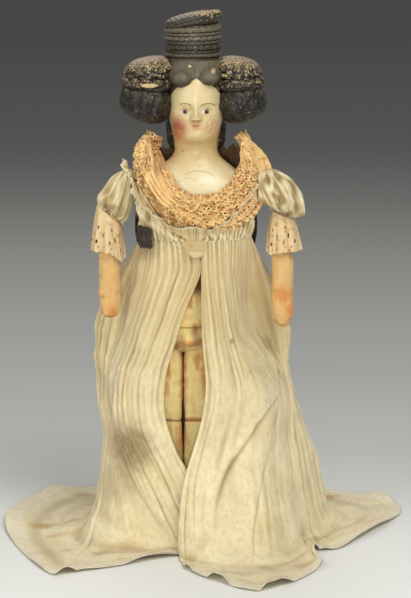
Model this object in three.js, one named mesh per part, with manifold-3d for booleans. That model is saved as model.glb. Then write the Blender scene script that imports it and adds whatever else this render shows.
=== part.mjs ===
// A papier-mache lady doll of about 1830, dressed in a long muslin gown.
// Her hollow shoulder head is pressed in two halves and carries separately pressed hair: side curls,
// two rolls on the brow and a plaited topknot on a peg. The head sits on a stuffed muslin body with
// loose arms and legs, and the gown, its sleeves and a lace bertha go over that.
// Sizes are in millimetres. +Z is up, she faces -Y, and her left hand is on +X.
// The origin is on the floor, in the middle of the spread hem.
import * as THREE from "three";
import { mergeVertices } from "three/addons/utils/BufferGeometryUtils.js";
import Module from "manifold-3d";

const wasm = await Module();
wasm.setup();

const { Vector3 } = THREE;
const FULL_TURN = Math.PI * 2;
const { lerp, degToRad } = THREE.MathUtils;

// Where she stands on the spread of her gown
const bodyX = -8;
const hipLean = -11;

// Gaps and cutting
const fitGap = 0.4;
const fillGap = 0.6;
const cutOverrun = 4;

// Legs
const soleGap = 0.6;
const shinLength = 106;
const thighLength = 51.4;
const legRadius = 17.5;
const legForward = 8;
const kneeSeamGap = 0.4;
const kneeNotchTurn = degToRad(18);
const hipSocketGap = 1;
const ankleRadius = 11;
const footWidth = 24;
const footLength = 42;
const footHeight = 17;
const footForward = 6;

// Stuffed body
const torsoLength = 164;
const seatRise = 6;
const hipHalfWidth = 40;
const bellyDepth = 31;
const seatDepth = 30;
const waistHalfWidth = 39;
const waistDepth = 28;
const chestHalfWidth = 46;
const chestDepth = 27;
const backDepth = 24;
const lobeWidth = 32;
const lobeDepth = 38;
const lobeHeight = 27;
const lobeForward = 19;
const lobeRise = 18;

// Shoulder head
const headWall = 3.4;
const plateDrop = 34;
const plateRise = 44;
const neckHalfWidth = 18;
const neckFrontDepth = 16;
const neckBackDepth = 17;
const chinRise = 56.5;
const headHeight = 65;
const faceHalfWidth = 23.3;
const faceDepth = 26.5;
const skullDepth = 27;
const noseLength = 5.2;
const lipHeight = 1.3;
const chinHeight = 1.6;
const eyeSocketDepth = 1.7;
const headSeamBack = 3;

// Hair
const rightCurlsReach = 62;
const leftCurlsReach = 57;
const curlsDepth = 28;
const curlsTop = 3;
const curlsHeight = 56;
const rollWidth = 21;
const rollDepth = 40;
const rollHeight = 17;
const rollSpacing = 22;
const rollForward = 9;
const rollDrop = 15;
const knotRadius = 24.5;
const knotSide = -2.5;
const knotBack = 2;
const knotCoilHeight = 8.2;
const knotCapHeight = 11;
const knotGroove = 1.9;
const plaitRelief = 0.8;
const knotSink = 5;
const pegRadius = 3;
const pegLength = 26;
const pegSink = 10;

// Arms
const armRadius = 9.2;
const leftArmLength = 95.5;
const rightArmLength = 88;
const armStubRadius = 6;
const armStubLength = 17.4;
const armLean = degToRad(11);

// Gown
const clothThickness = 1.5;
const gatherDepth = 5;
const waistBelowShoulder = 25.6;
const casingHeight = 6;
const bodiceEase = 0.8;
const bodiceFrontHeight = 5;
const bodiceSideHeight = 46;
const bodiceBustEase = 2.6;
const armholeRadius = 14.5;
const frillHeight = 9;
const frillFlare = 4;
const frillWave = 1.3;
const frillGap = 0.8;
const tabWidth = 15;
const tabHeight = 15;
const tabLean = degToRad(8);
const rightSleeveRadius = 14;
const leftSleeveRadius = 22;
const sleeveHeight = 36;
const sleeveInset = 1.3;
const sleeveDrop = 2;
const rightSleeveSlope = 0.9;
const leftSleeveSlope = -0.4;
const cuffGap = 0.6;
const cuffDrop = 31;
const cuffFlare = 5;
const cuffWave = 1.1;
const rightCuffCorner = 9;
const leftCuffCorner = 3;
const cuffPressShare = 0.45;

// Lace bertha
const laceThickness = 1.6;
const laceEase = 1.2;
const laceFrontHeight = 29;
const laceCollarHeight = 40;
const laceWave = 1.2;
const laceLift = 2.2;

// Skirt
const bellHalfWidth = 82;
const bellDepth = 48;
const bellZ = 182;
const skirtLean = -4;
const skirtJoinDrop = 0.35;
const skirtHalfWidth = 83;
const skirtDepth = 56;
const hemHalfWidth = 174;
const hemHalfDepth = 180;
const midHeight = 140;
const lowHeight = 70;
const floorLift = 3;
const pleatHeight = 3.2;
const seamGap = 0.6;

// Heights and places worked out from the sizes above
const soleZ = soleGap;
const kneeZ = soleZ + shinLength;
const hipZ = kneeZ + thighLength;
const hipX = bodyX + hipLean;
const legOffset = legRadius + fitGap / 2;
const plugTopZ = hipZ + torsoLength;
const plateRimZ = plugTopZ - plateDrop;
const neckBaseZ = plateRimZ + plateRise;
const chinZ = plateRimZ + chinRise;
const crownZ = chinZ + headHeight;
const plateHalfWidth = chestHalfWidth + fillGap + headWall;
const plateFrontDepth = chestDepth + fillGap + headWall;
const plateBackDepth = backDepth + fillGap + headWall;
const shoulderZ = plateRimZ - armStubRadius - fitGap;
const armOffset = chestHalfWidth + fitGap + armStubLength + armRadius;
const waistZ = shoulderZ - waistBelowShoulder;
const casingTopZ = waistZ + casingHeight;
const bodiceOuterHalf = plateHalfWidth + bodiceEase + clothThickness;

// The solids are joined and cut as manifolds, and turned back into geometry at the end.
function toSolid(geometry) {
  const bare = geometry.index ? geometry.toNonIndexed() : geometry.clone();
  bare.deleteAttribute("normal");
  bare.deleteAttribute("uv");
  const merged = mergeVertices(bare);
  return new wasm.Manifold(
    new wasm.Mesh({
      numProp: 3,
      vertProperties: merged.attributes.position.array,
      triVerts: new Uint32Array(merged.index.array),
    }),
  );
}

function toGeometry(solid) {
  const mesh = solid.getMesh();
  const geometry = new THREE.BufferGeometry();
  geometry.setAttribute(
    "position",
    new THREE.BufferAttribute(new Float32Array(mesh.vertProperties), 3),
  );
  geometry.setIndex(new THREE.BufferAttribute(new Uint32Array(mesh.triVerts), 1));
  const shaded = geometry.toNonIndexed();
  shaded.computeVertexNormals();
  return shaded;
}

function fromTriangles(triangles) {
  return new THREE.BufferGeometry().setFromPoints(triangles);
}

// A closed skin over a stack of rings, each a list of the same number of points, counterclockwise
// seen from above and given from the lowest ring to the highest.
function loft(rings) {
  const triangles = [];
  const count = rings[0].length;
  const middle = (ring) =>
    ring.reduce((sum, p) => sum.add(p), new Vector3()).divideScalar(ring.length);
  const foot = middle(rings[0]);
  const head = middle(rings[rings.length - 1]);
  for (let j = 0; j < count; j++) {
    const next = (j + 1) % count;
    for (let i = 0; i + 1 < rings.length; i++) {
      const [low, high] = [rings[i], rings[i + 1]];
      triangles.push(low[j], low[next], high[next], low[j], high[next], high[j]);
    }
    triangles.push(foot, rings[0][next], rings[0][j]);
    const last = rings[rings.length - 1];
    triangles.push(head, last[j], last[next]);
  }
  return toSolid(fromTriangles(triangles));
}

// A sheet of cloth with an outer and an inner face, both grids of points in rows. The rows of a
// ring of cloth close on themselves, and a flat panel has two side edges instead.
function sheet(outer, inner, isRing) {
  const triangles = [];
  const rows = outer.length;
  const columns = outer[0].length;
  const quad = (a, b, c, d) => triangles.push(a, b, c, a, c, d);
  const steps = isRing ? columns : columns - 1;
  for (let j = 0; j < steps; j++) {
    const next = (j + 1) % columns;
    for (let i = 0; i + 1 < rows; i++) {
      quad(outer[i][j], outer[i][next], outer[i + 1][next], outer[i + 1][j]);
      quad(inner[i][next], inner[i][j], inner[i + 1][j], inner[i + 1][next]);
    }
    const end = rows - 1;
    quad(inner[0][j], inner[0][next], outer[0][next], outer[0][j]);
    quad(outer[end][j], outer[end][next], inner[end][next], inner[end][j]);
  }
  if (!isRing) {
    for (let i = 0; i + 1 < rows; i++) {
      const side = columns - 1;
      quad(inner[i][0], outer[i][0], outer[i + 1][0], inner[i + 1][0]);
      quad(outer[i][side], inner[i][side], inner[i + 1][side], outer[i + 1][side]);
    }
  }
  return toSolid(fromTriangles(triangles));
}

// A point of an oval that may be deeper in front than behind; turn 0 looks along -Y.
function ovalPoint(x, z, turn, half, front, back, y = 0) {
  const depth = Math.cos(turn) > 0 ? front : back;
  return new Vector3(x + half * Math.sin(turn), y - depth * Math.cos(turn), z);
}

function ovalRing(count, x, z, half, front, back, y = 0) {
  return Array.from({ length: count }, (_, k) =>
    ovalPoint(x, z, (FULL_TURN * k) / count, half, front, back, y),
  );
}

function roundRing(count, x, y, z, radius) {
  return ovalRing(count, x, z, radius, radius, radius, y);
}

const BALL_COLUMNS = 14;
const BALL_ROWS = 9;

function ellipsoid(x, y, z, halfX, halfY, halfZ, around = BALL_COLUMNS, down = BALL_ROWS) {
  const ball = new THREE.SphereGeometry(1, around, down);
  ball.scale(halfX, halfY, halfZ);
  ball.translate(x, y, z);
  return toSolid(ball);
}

function cylinderAlongX(fromX, toX, y, z, radius, around = 20) {
  const bar = new THREE.CylinderGeometry(radius, radius, Math.abs(toX - fromX), around);
  bar.rotateZ(Math.PI / 2);
  bar.translate((fromX + toX) / 2, y, z);
  return toSolid(bar);
}

function block(low, high) {
  const size = new Vector3().subVectors(high, low);
  const middle = new Vector3().addVectors(low, high).divideScalar(2);
  const box = new THREE.BoxGeometry(size.x, size.y, size.z);
  box.translate(middle.x, middle.y, middle.z);
  return toSolid(box);
}

// A number read off a table of [where, value] pairs, with straight runs between them.
function readTable(table, where) {
  const last = table.length - 1;
  if (where <= table[0][0]) {
    return table[0][1];
  }
  for (let i = 0; i < last; i++) {
    const [from, low] = table[i];
    const [to, high] = table[i + 1];
    if (where <= to) {
      return lerp(low, high, (where - from) / (to - from));
    }
  }
  return table[last][1];
}

// A smooth curve through a list of points, at a place counted in points.
function alongCurve(points, place) {
  const last = points.length - 1;
  const index = Math.min(Math.floor(place), last - 1);
  const t = place - index;
  const before = points[Math.max(index - 1, 0)];
  const [from, to] = [points[index], points[index + 1]];
  const after = points[Math.min(index + 2, last)];
  const blend = (axis) => {
    const slopeIn = (to[axis] - before[axis]) / 2;
    const slopeOut = (after[axis] - from[axis]) / 2;
    const rise = to[axis] - from[axis];
    const cubic = slopeIn + slopeOut - 2 * rise;
    const square = 3 * rise - 2 * slopeIn - slopeOut;
    return from[axis] + t * (slopeIn + t * (square + t * cubic));
  };
  return new Vector3(blend("x"), blend("y"), blend("z"));
}

// The bust: shoulder plate, neck and head. Rows run from the plate's rim to the crown.
// Shoulder rows hold a share of the rise from the rim to the neck, and how far the oval has
// drawn in from the plate's size to the neck's.
const shoulderShares = [
  [0, 0],
  [0.27, 0.01],
  [0.45, 0.14],
  [0.61, 0.38],
  [0.77, 0.69],
  [0.93, 0.93],
  [1.06, 1],
];
// Head rows hold a share of the height over the chin, then shares of the half width, the depth in
// front and the depth behind.
const headShares = [
  [-0.06, 0.79, 0.68, 0.65],
  [-0.01, 0.8, 0.82, 0.66],
  [0.06, 0.85, 0.91, 0.68],
  [0.12, 0.88, 0.94, 0.71],
  [0.18, 0.92, 0.96, 0.75],
  [0.24, 0.955, 0.97, 0.81],
  [0.3, 0.98, 0.975, 0.86],
  [0.37, 0.99, 0.97, 0.91],
  [0.45, 1, 0.98, 0.95],
  [0.56, 1, 1, 0.99],
  [0.67, 0.97, 0.99, 1],
  [0.78, 0.89, 0.91, 0.96],
  [0.87, 0.75, 0.76, 0.84],
  [0.94, 0.54, 0.55, 0.61],
  [0.985, 0.28, 0.28, 0.31],
];

function bustRows(grow) {
  const shoulders = shoulderShares.map(([up, drawn]) => ({
    z: plateRimZ + plateRise * up,
    half: lerp(plateHalfWidth, neckHalfWidth, drawn) + grow,
    front: lerp(plateFrontDepth, neckFrontDepth, drawn) + grow,
    back: lerp(plateBackDepth, neckBackDepth, drawn) + grow,
  }));
  const head = headShares.map(([up, wide, front, back]) => ({
    z: chinZ + headHeight * up + grow * Math.max(up, 0),
    half: faceHalfWidth * wide + grow,
    front: faceDepth * front + grow,
    back: skullDepth * back + grow,
  }));
  return [...shoulders, ...head];
}

// A bump on the face: a bell curve over the turn from the front and the share of head height.
function bell(turn, up, atTurn, atUp, wide, tall) {
  return Math.exp(-(((turn - atTurn) / wide) ** 2) - ((up - atUp) / tall) ** 2);
}

function faceRelief(turn, z) {
  const up = (z - chinZ) / headHeight;
  const side = Math.abs(turn);
  const nose = noseLength * bell(side, up, 0, 0.3, degToRad(8), 0.05);
  const bridge = 0.35 * noseLength * bell(side, up, 0, 0.39, degToRad(7), 0.08);
  const lips = lipHeight * bell(side, up, 0, 0.18, degToRad(13), 0.035);
  const chin = chinHeight * bell(side, up, 0, 0.03, degToRad(17), 0.05);
  const socket = eyeSocketDepth * bell(side, up, degToRad(23), 0.4, degToRad(10), 0.06);
  return nose + bridge + lips + chin - socket;
}

const BUST_COLUMNS = 30;
const FACE_CROWDING = 0.55;

function bustRing(row) {
  return Array.from({ length: BUST_COLUMNS }, (_, k) => {
    const even = (FULL_TURN * k) / BUST_COLUMNS;
    const turn = even - FACE_CROWDING * Math.sin(even);
    const signed = turn > Math.PI ? turn - FULL_TURN : turn;
    const relief = faceRelief(signed, row.z);
    const point = ovalPoint(bodyX, row.z, turn, row.half, row.front, row.back);
    point.x += relief * Math.sin(turn);
    point.y -= relief * Math.cos(turn);
    return point;
  });
}

function bustSolid(grow) {
  return loft(bustRows(grow).map(bustRing));
}

function bustSizeAt(z) {
  const rows = bustRows(0);
  const pick = (name) => readTable(rows.map((row) => [row.z, row[name]]), z);
  return { half: pick("half"), front: pick("front"), back: pick("back") };
}

// The hollow inside follows the plate and the head at one wall's distance, and runs out below.
const FILLING_COLUMNS = 22;
const cavityTopShare = 0.9;

function bustCavity() {
  const rows = bustRows(-headWall).filter(
    (row) => row.z < chinZ + headHeight * cavityTopShare,
  );
  const mouth = { ...rows[0], z: plateRimZ - cutOverrun };
  return loft(
    [mouth, ...rows].map((row) =>
      ovalRing(FILLING_COLUMNS, bodyX, row.z, row.half, row.front, row.back),
    ),
  );
}

function headHalves() {
  const shell = bustSolid(0).subtract(bustCavity());
  const farX = plateHalfWidth + cutOverrun;
  const farY = plateFrontDepth + noseLength + cutOverrun;
  const low = plateRimZ - cutOverrun;
  const high = crownZ + cutOverrun;
  const front = block(
    new Vector3(bodyX - farX, -farY, low),
    new Vector3(bodyX + farX, headSeamBack - fitGap / 2, high),
  );
  const back = block(
    new Vector3(bodyX - farX, headSeamBack + fitGap / 2, low),
    new Vector3(bodyX + farX, farY, high),
  );
  return { front: shell.intersect(front), back: shell.intersect(back) };
}

// Side curls: a ribbed bell of ringlets under two flat puffs. The bell tips down towards the
// cheek. A tier's middle is a share of the reach out from the face and a share of the height up,
// and its half sizes are shares of the reach, the depth and the height.
const curlTiers = [
  { outShare: 0.67, upShare: 0.33, wideShare: 0.37, deepShare: 0.96, tallShare: 0.33, tip: 18 },
  { outShare: 0.65, upShare: 0.6, wideShare: 0.36, deepShare: 0.93, tallShare: 0.15, tip: 3 },
  { outShare: 0.62, upShare: 0.79, wideShare: 0.35, deepShare: 0.88, tallShare: 0.21, tip: -9 },
];
// A tier's rings, from its foot to its top: shares of the half height, and of the half sizes
const tierRingShares = [
  [-1, 0.22],
  [-0.82, 0.64],
  [-0.42, 0.93],
  [0.1, 1],
  [0.6, 0.86],
  [0.92, 0.5],
  [1, 0.18],
];
const ribDepthShare = 0.09;

const CURL_RIBS = 13;
const COLUMNS_PER_RIB = 2;

function tipped(point, middle, tip) {
  const across = point.x - middle.x;
  const up = point.z - middle.z;
  point.x = middle.x + across * Math.cos(tip) - up * Math.sin(tip);
  point.z = middle.z + up * Math.cos(tip) + across * Math.sin(tip);
  return point;
}

function curlTier(side, reach, tier) {
  const low = crownZ + curlsTop - curlsHeight;
  const middle = new Vector3(
    bodyX + side * reach * tier.outShare,
    0,
    low + curlsHeight * tier.upShare,
  );
  const count = CURL_RIBS * COLUMNS_PER_RIB;
  const rings = tierRingShares.map(([up, wide]) =>
    Array.from({ length: count }, (_, k) => {
      const rib = k % COLUMNS_PER_RIB === 0 ? 1 : 1 - ribDepthShare;
      const half = reach * tier.wideShare * wide * rib;
      const depth = curlsDepth * tier.deepShare * wide * rib;
      const z = middle.z + curlsHeight * tier.tallShare * up;
      const point = ovalPoint(middle.x, z, (FULL_TURN * k) / count, half, depth, depth);
      return tipped(point, middle, side * degToRad(tier.tip));
    }),
  );
  return loft(rings);
}

function sideCurls(side, reach) {
  return wasm.Manifold.union(curlTiers.map((tier) => curlTier(side, reach, tier)));
}

function browRoll(side, grow) {
  return ellipsoid(
    bodyX + (side * rollSpacing) / 2,
    -rollForward,
    crownZ - rollDrop,
    rollWidth / 2 + grow,
    rollDepth / 2 + grow,
    rollHeight / 2 + grow,
  );
}

// The topknot: four plaited coils wound on one another under a domed cap.
const KNOT_COILS = 4;
const KNOT_COLUMNS = 27;
const PLAITS_AROUND = 9;
const coilShares = [
  [0.08, 0],
  [0.3, 0.9],
  [0.7, 0.9],
  [0.92, 0],
];
const capShares = [
  [0.1, 0.9],
  [0.45, 0.99],
  [0.75, 0.86],
  [0.93, 0.55],
];

function knotRing(z, radius, relief, phase) {
  return Array.from({ length: KNOT_COLUMNS }, (_, k) => {
    const turn = (FULL_TURN * k) / KNOT_COLUMNS;
    const plait = relief * Math.cos(turn * PLAITS_AROUND + phase);
    const r = radius + plait;
    return ovalPoint(bodyX + knotSide, z, turn, r, r, r, knotBack);
  });
}

const knotBaseZ = crownZ - knotSink;
const knotTopZ = knotBaseZ + knotSink + KNOT_COILS * knotCoilHeight + knotCapHeight;

function topknot() {
  const inner = knotRadius - knotGroove - plaitRelief;
  const rings = [knotRing(knotBaseZ, inner, 0, 0)];
  for (let coil = 0; coil < KNOT_COILS; coil++) {
    const low = crownZ + coil * knotCoilHeight;
    for (const [up, out] of coilShares) {
      const radius = inner + knotGroove * out;
      rings.push(
        knotRing(low + knotCoilHeight * up, radius, plaitRelief * out, coil * Math.PI),
      );
    }
  }
  const capLow = crownZ + KNOT_COILS * knotCoilHeight;
  for (const [up, out] of capShares) {
    rings.push(knotRing(capLow + knotCapHeight * up, inner * out, plaitRelief * out, 0));
  }
  return loft(rings);
}

const PEG_SIDES = 12;

function peg(grow) {
  const low = crownZ - pegSink;
  const turned = (z) => roundRing(PEG_SIDES, bodyX + knotSide, knotBack, z, pegRadius + grow);
  return loft([turned(low - grow), turned(low + pegLength + grow)]);
}

// The stuffed body. It fills the plate from inside, at the fitting gap, and carries two full
// lobes in front over the tops of the legs.
const SOCKET_COLUMNS = 14;
const SOCKET_ROWS = 10;

function torsoRows() {
  const lower = [
    [seatRise / torsoLength, 0.86, 0.66, 0.8],
    [0.08, 0.96, 0.86, 0.94],
    [0.15, 1, 0.97, 1],
    [0.26, 1, 1, 1],
  ].map(([up, wide, front, back]) => ({
    z: hipZ + torsoLength * up,
    half: hipHalfWidth * wide,
    front: bellyDepth * front,
    back: seatDepth * back,
  }));
  const waist = [waistZ - casingHeight, casingTopZ + clothThickness].map((z) => ({
    z,
    half: waistHalfWidth,
    front: waistDepth,
    back: waistDepth,
  }));
  const chest = {
    z: shoulderZ,
    half: chestHalfWidth,
    front: chestDepth,
    back: backDepth,
  };
  const inside = bustRows(-headWall - fillGap).filter(
    (row) => row.z >= plateRimZ && row.z < plugTopZ,
  );
  return [...lower, ...waist, chest, ...inside];
}

function torso() {
  const rings = torsoRows().map((row) => {
    const up = Math.min((row.z - hipZ) / (waistZ - casingHeight - hipZ), 1);
    const x = lerp(hipX, bodyX, up);
    return ovalRing(FILLING_COLUMNS, x, row.z, row.half, row.front, row.back);
  });
  let body = loft(rings);
  for (const side of [-1, 1]) {
    const x = hipX + side * legOffset;
    const lobe = ellipsoid(
      x,
      -lobeForward,
      hipZ + lobeRise,
      lobeWidth / 2,
      lobeDepth / 2,
      lobeHeight / 2,
    );
    body = body.add(lobe);
  }
  for (const side of [-1, 1]) {
    const socket = legRadius + hipSocketGap;
    const x = hipX + side * legOffset;
    body = body.subtract(
      ellipsoid(x, -legForward, hipZ, socket, socket, socket, SOCKET_COLUMNS, SOCKET_ROWS),
    );
  }
  return body;
}

// Arms: a stuffed tube sewn shut at its lower end, with a soft stub that is sewn to the body.
const ARM_COLUMNS = 14;
const armTopShares = [
  [0.84, 0.3],
  [0.62, 0.64],
  [0.3, 0.82],
];
const armShares = [
  [0.1, 0.84],
  [0.28, 0.97],
  [0.45, 1],
  [0.7, 1],
  [0.86, 0.96],
  [0.96, 0.78],
  [1, 0.42],
];

function armRing(count, side, z, radius) {
  const forward = Math.max(shoulderZ - z, 0) * Math.tan(armLean);
  return roundRing(count, bodyX + side * armOffset, -forward, z, radius);
}

function arm(side, length) {
  const x = bodyX + side * armOffset;
  const rows = [
    ...armShares.map(([down, wide]) => [shoulderZ - length * down, wide]).reverse(),
    ...armTopShares.map(([up, wide]) => [shoulderZ + armRadius * up, wide]).reverse(),
  ];
  const tube = loft(rows.map(([z, wide]) => armRing(ARM_COLUMNS, side, z, armRadius * wide)));
  const stubStart = bodyX + side * (chestHalfWidth + fitGap);
  const stub = cylinderAlongX(stubStart, x, 0, shoulderZ, armStubRadius, ARM_COLUMNS);
  return tube.add(stub);
}

// Legs: thigh and shin meet on a stitched seam at the front of the knee. Behind the seam both
// ends slope away, so that the knee can fold.
const LEG_COLUMNS = 16;
const thighTopShares = [
  [0.96, 0.28],
  [0.8, 0.6],
  [0.5, 0.866],
];
const shinShares = [
  [0.3, 1],
  [0.6, 0.9],
  [0.8, 0.74],
];
const kneeTaperShare = 0.94;
const thighSwellShare = 0.55;

const kneeRadius = legRadius * kneeTaperShare;

function legRing(x, z, radius) {
  return roundRing(LEG_COLUMNS, x, -legForward, z, radius);
}

function slopedRing(x, z, slope) {
  const ring = roundRing(LEG_COLUMNS, x, -legForward, z, kneeRadius);
  ring.forEach((p) => {
    p.z += slope * (p.y + legForward + kneeRadius) * Math.tan(kneeNotchTurn);
  });
  return ring;
}

function thigh(side) {
  const x = hipX + side * legOffset;
  const top = thighTopShares
    .map(([up, wide]) => legRing(x, hipZ + legRadius * up, legRadius * wide))
    .reverse();
  const middle = legRing(x, lerp(kneeZ, hipZ, thighSwellShare), legRadius);
  const hip = legRing(x, hipZ, legRadius);
  return loft([slopedRing(x, kneeZ + kneeSeamGap / 2, 1), middle, hip, ...top]);
}

function shin(side) {
  const x = hipX + side * legOffset;
  const rings = shinShares
    .map(([down, wide]) => legRing(x, kneeZ - shinLength * down, legRadius * wide))
    .reverse();
  const ankle = legRing(x, soleZ + footHeight * 0.3, ankleRadius);
  const leg = loft([ankle, ...rings, slopedRing(x, kneeZ - kneeSeamGap / 2, -1)]);
  const wholeFoot = ellipsoid(
    x,
    -legForward - footForward,
    soleZ,
    footWidth / 2,
    footLength / 2,
    footHeight,
  );
  const above = block(
    new Vector3(x - footWidth, -legForward - footLength, soleZ),
    new Vector3(x + footWidth, footLength, soleZ + footHeight * 2),
  );
  return leg.add(wholeFoot.intersect(above));
}

// The bodice: a ring of cloth from the waist to a neckline that dips low in front. Rows of the
// neckline hold degrees from the front and a share of the rise to the shoulder.
const BODICE_COLUMNS = 48;
const necklineShares = [
  [0, 0],
  [20, 0.08],
  [38, 0.36],
  [56, 0.74],
  [76, 1],
  [104, 1],
  [140, 0.92],
  [180, 0.88],
];

function degreesFromFront(turn) {
  const degrees = Math.abs((turn * 360) / FULL_TURN) % 360;
  return Math.min(degrees, 360 - degrees);
}

function necklineZ(turn) {
  const share = readTable(necklineShares, degreesFromFront(turn));
  return casingTopZ + fitGap + lerp(bodiceFrontHeight, bodiceSideHeight, share);
}

// The gown's inside at a height: drawn to the waist below, and clear of the plate above.
function gownSizeAt(z) {
  const up = THREE.MathUtils.clamp((z - waistZ) / (shoulderZ - waistZ), 0, 1);
  const grow = bodiceEase;
  return {
    half: lerp(waistHalfWidth + grow, plateHalfWidth + grow, up),
    front: lerp(waistDepth + grow, plateFrontDepth + grow + bodiceBustEase, up),
    back: lerp(waistDepth + grow, plateBackDepth + grow, up),
  };
}

function turnsAround(count) {
  return Array.from({ length: count }, (_, k) => (FULL_TURN * k) / count);
}

// One face of cloth about the body, some depth over the inside that the rows give for a turn
function clothFace(turns, rows, depth) {
  return rows.map((row) =>
    turns.map((turn) => {
      const { z, half, front, back } = row(turn);
      return ovalPoint(bodyX, z, turn, half + depth, front + depth, back + depth);
    }),
  );
}

function clothTube(count, rows, thickness) {
  const turns = turnsAround(count);
  return sheet(clothFace(turns, rows, thickness), clothFace(turns, rows, 0), true);
}

// The bodice's inside at a turn and height: the gathers lift it away from the body low down.
function bodiceSizeAt(turn, z) {
  const low = casingTopZ + fitGap;
  const rise = THREE.MathUtils.clamp((z - low) / (necklineZ(turn) - low), 0, 1);
  const gather = (1 - rise) * (gatherDepth - clothThickness);
  const size = gownSizeAt(z);
  return {
    half: size.half + gather,
    front: size.front + gather,
    back: size.back + gather,
  };
}

function bodice() {
  const rises = [0, 0.35, 0.7, 1];
  const rows = rises.map((rise) => (turn) => {
    const z = lerp(casingTopZ + fitGap, necklineZ(turn), rise);
    return { z, ...bodiceSizeAt(turn, z) };
  });
  let cloth = clothTube(BODICE_COLUMNS, rows, clothThickness);
  for (const side of [-1, 1]) {
    const from = bodyX + (side * chestHalfWidth) / 2;
    const to = bodyX + side * (bodiceOuterHalf + cutOverrun);
    cloth = cloth.subtract(cylinderAlongX(from, to, 0, shoulderZ, armholeRadius));
  }
  return cloth;
}

function waistCasing() {
  const bulge = [0, 0.8, 1, 0.6, 0];
  const size = gownSizeAt(waistZ);
  const rows = bulge.map((out, i) => () => {
    const z = lerp(waistZ + fitGap, casingTopZ, i / (bulge.length - 1));
    const full = gatherDepth + clothThickness * out;
    return { z, half: size.half + full, front: size.front + full, back: size.back + full };
  });
  const turns = turnsAround(BODICE_COLUMNS / 2);
  const inner = rows.map((row) => () => ({ ...row(), ...size }));
  return sheet(clothFace(turns, rows, 0), clothFace(turns, inner, 0), true);
}

// The gathered heading over the drawstring, in front and behind; the sleeves part it.
const FRILL_COLUMNS = 24;
const FRILL_WAVE_TURN = degToRad(26);
const frillHangShare = 0.5;
const frillHalfTurn = degToRad(60);

function necklineFrill(middleTurn) {
  const turns = Array.from({ length: FRILL_COLUMNS + 1 }, (_, k) =>
    lerp(middleTurn - frillHalfTurn, middleTurn + frillHalfTurn, k / FRILL_COLUMNS),
  );
  const rises = [0, 0.5, 1];
  const rows = rises.map((rise) => (turn) => {
    const z = necklineZ(turn) + frillHeight * (rise - frillHangShare);
    const size = bodiceSizeAt(turn, z);
    const wave = frillWave * (1 + Math.cos((turn * FULL_TURN) / FRILL_WAVE_TURN)) * rise;
    const out = clothThickness + frillGap + frillFlare * rise ** 2 + wave;
    return { z, half: size.half + out, front: size.front + out, back: size.back + out };
  });
  return sheet(clothFace(turns, rows, clothThickness), clothFace(turns, rows, 0), false);
}

// The small rounded flap that hangs over the top of the front slit
function placketTab() {
  const outline = new THREE.Shape();
  outline.moveTo(-tabWidth / 2, tabHeight);
  outline.lineTo(-tabWidth / 2, tabWidth / 2);
  outline.absarc(0, tabWidth / 2, tabWidth / 2, Math.PI, FULL_TURN, false);
  outline.lineTo(tabWidth / 2, tabHeight);
  outline.closePath();
  const flap = new THREE.ExtrudeGeometry(outline, {
    depth: clothThickness,
    bevelEnabled: false,
    curveSegments: 8,
  });
  flap.translate(0, -tabHeight, 0);
  flap.rotateX(Math.PI / 2 - tabLean);
  const front = gownSizeAt(waistZ).front + gatherDepth + clothThickness + fitGap;
  flap.translate(bodyX, -front, casingTopZ);
  return toSolid(flap);
}

// A short puffed sleeve, gathered onto the arm below and open towards the armhole. Its lower edge
// slopes, up or down towards the outside. Rows hold shares of the height over the shoulder, of
// the puff's radius, of the slope, and of the way out to the arm.
const SLEEVE_COLUMNS = 18;
const sleeveShares = [
  [0.12, 0.95, 0.7, 0.85],
  [0.3, 1, 0.45, 0.7],
  [0.5, 0.97, 0.2, 0.5],
  [0.75, 0.8, 0, 0.3],
  [0.92, 0.5, 0, 0.1],
  [0.99, 0.2, 0, 0],
];
const puffInsetShare = 0.35;
const sleeveNeckShare = 0.92;

function sloped(ring, side, slope) {
  const axis = bodyX + side * armOffset;
  return ring.map((p) => new Vector3(p.x, p.y, p.z + slope * side * (p.x - axis)));
}

function sleeveBody(side, radius, slope, thinner, overrun) {
  const nearBody = bodiceOuterHalf + radius * puffInsetShare;
  const neckRadius = armRadius * sleeveNeckShare + fitGap + clothThickness - thinner;
  const neckZ = shoulderZ - sleeveDrop;
  const neck = [neckZ - overrun, neckZ + clothThickness].map((z) =>
    sloped(armRing(SLEEVE_COLUMNS, side, z, neckRadius), side, slope),
  );
  const puff = sleeveShares.map(([up, wide, tilt, out]) => {
    const x = bodyX + side * lerp(nearBody, armOffset, out);
    const z = shoulderZ + (sleeveHeight - thinner) * up;
    const ring = roundRing(SLEEVE_COLUMNS, x, 0, z, (radius - thinner) * wide);
    return sloped(ring, side, slope * tilt);
  });
  return loft([...neck, ...puff]);
}

// The way for the stub of the arm, through the near side of the sleeve and its cuff.
function stubHole(side) {
  const ends = [chestHalfWidth, armOffset].map((out) => bodyX + side * out);
  return cylinderAlongX(ends[0], ends[1], 0, shoulderZ, armStubRadius + fitGap, ARM_COLUMNS);
}

function sleeve(side, radius, slope) {
  const hollow = sleeveBody(side, radius, slope, clothThickness, cutOverrun);
  const puff = sleeveBody(side, radius, slope, 0, 0).subtract(hollow);
  const inside = bodyX + side * (bodiceOuterHalf + sleeveInset);
  const outside = bodyX + side * (armOffset + 2 * radius);
  const reach = radius + sleeveHeight;
  const keep = block(
    new Vector3(Math.min(inside, outside), -reach, shoulderZ - reach),
    new Vector3(Math.max(inside, outside), reach, shoulderZ + reach),
  );
  return puff.intersect(keep).subtract(stubHole(side));
}

// The cuff follows the sloping edge of its sleeve, and one corner of it hangs down in front.
const CUFF_COLUMNS = 24;
const CUFF_SCALLOPS = 8;
const cuffCornerTurn = degToRad(55);
const cuffRiseShares = [0, 0.35, 0.75, 1];

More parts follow.
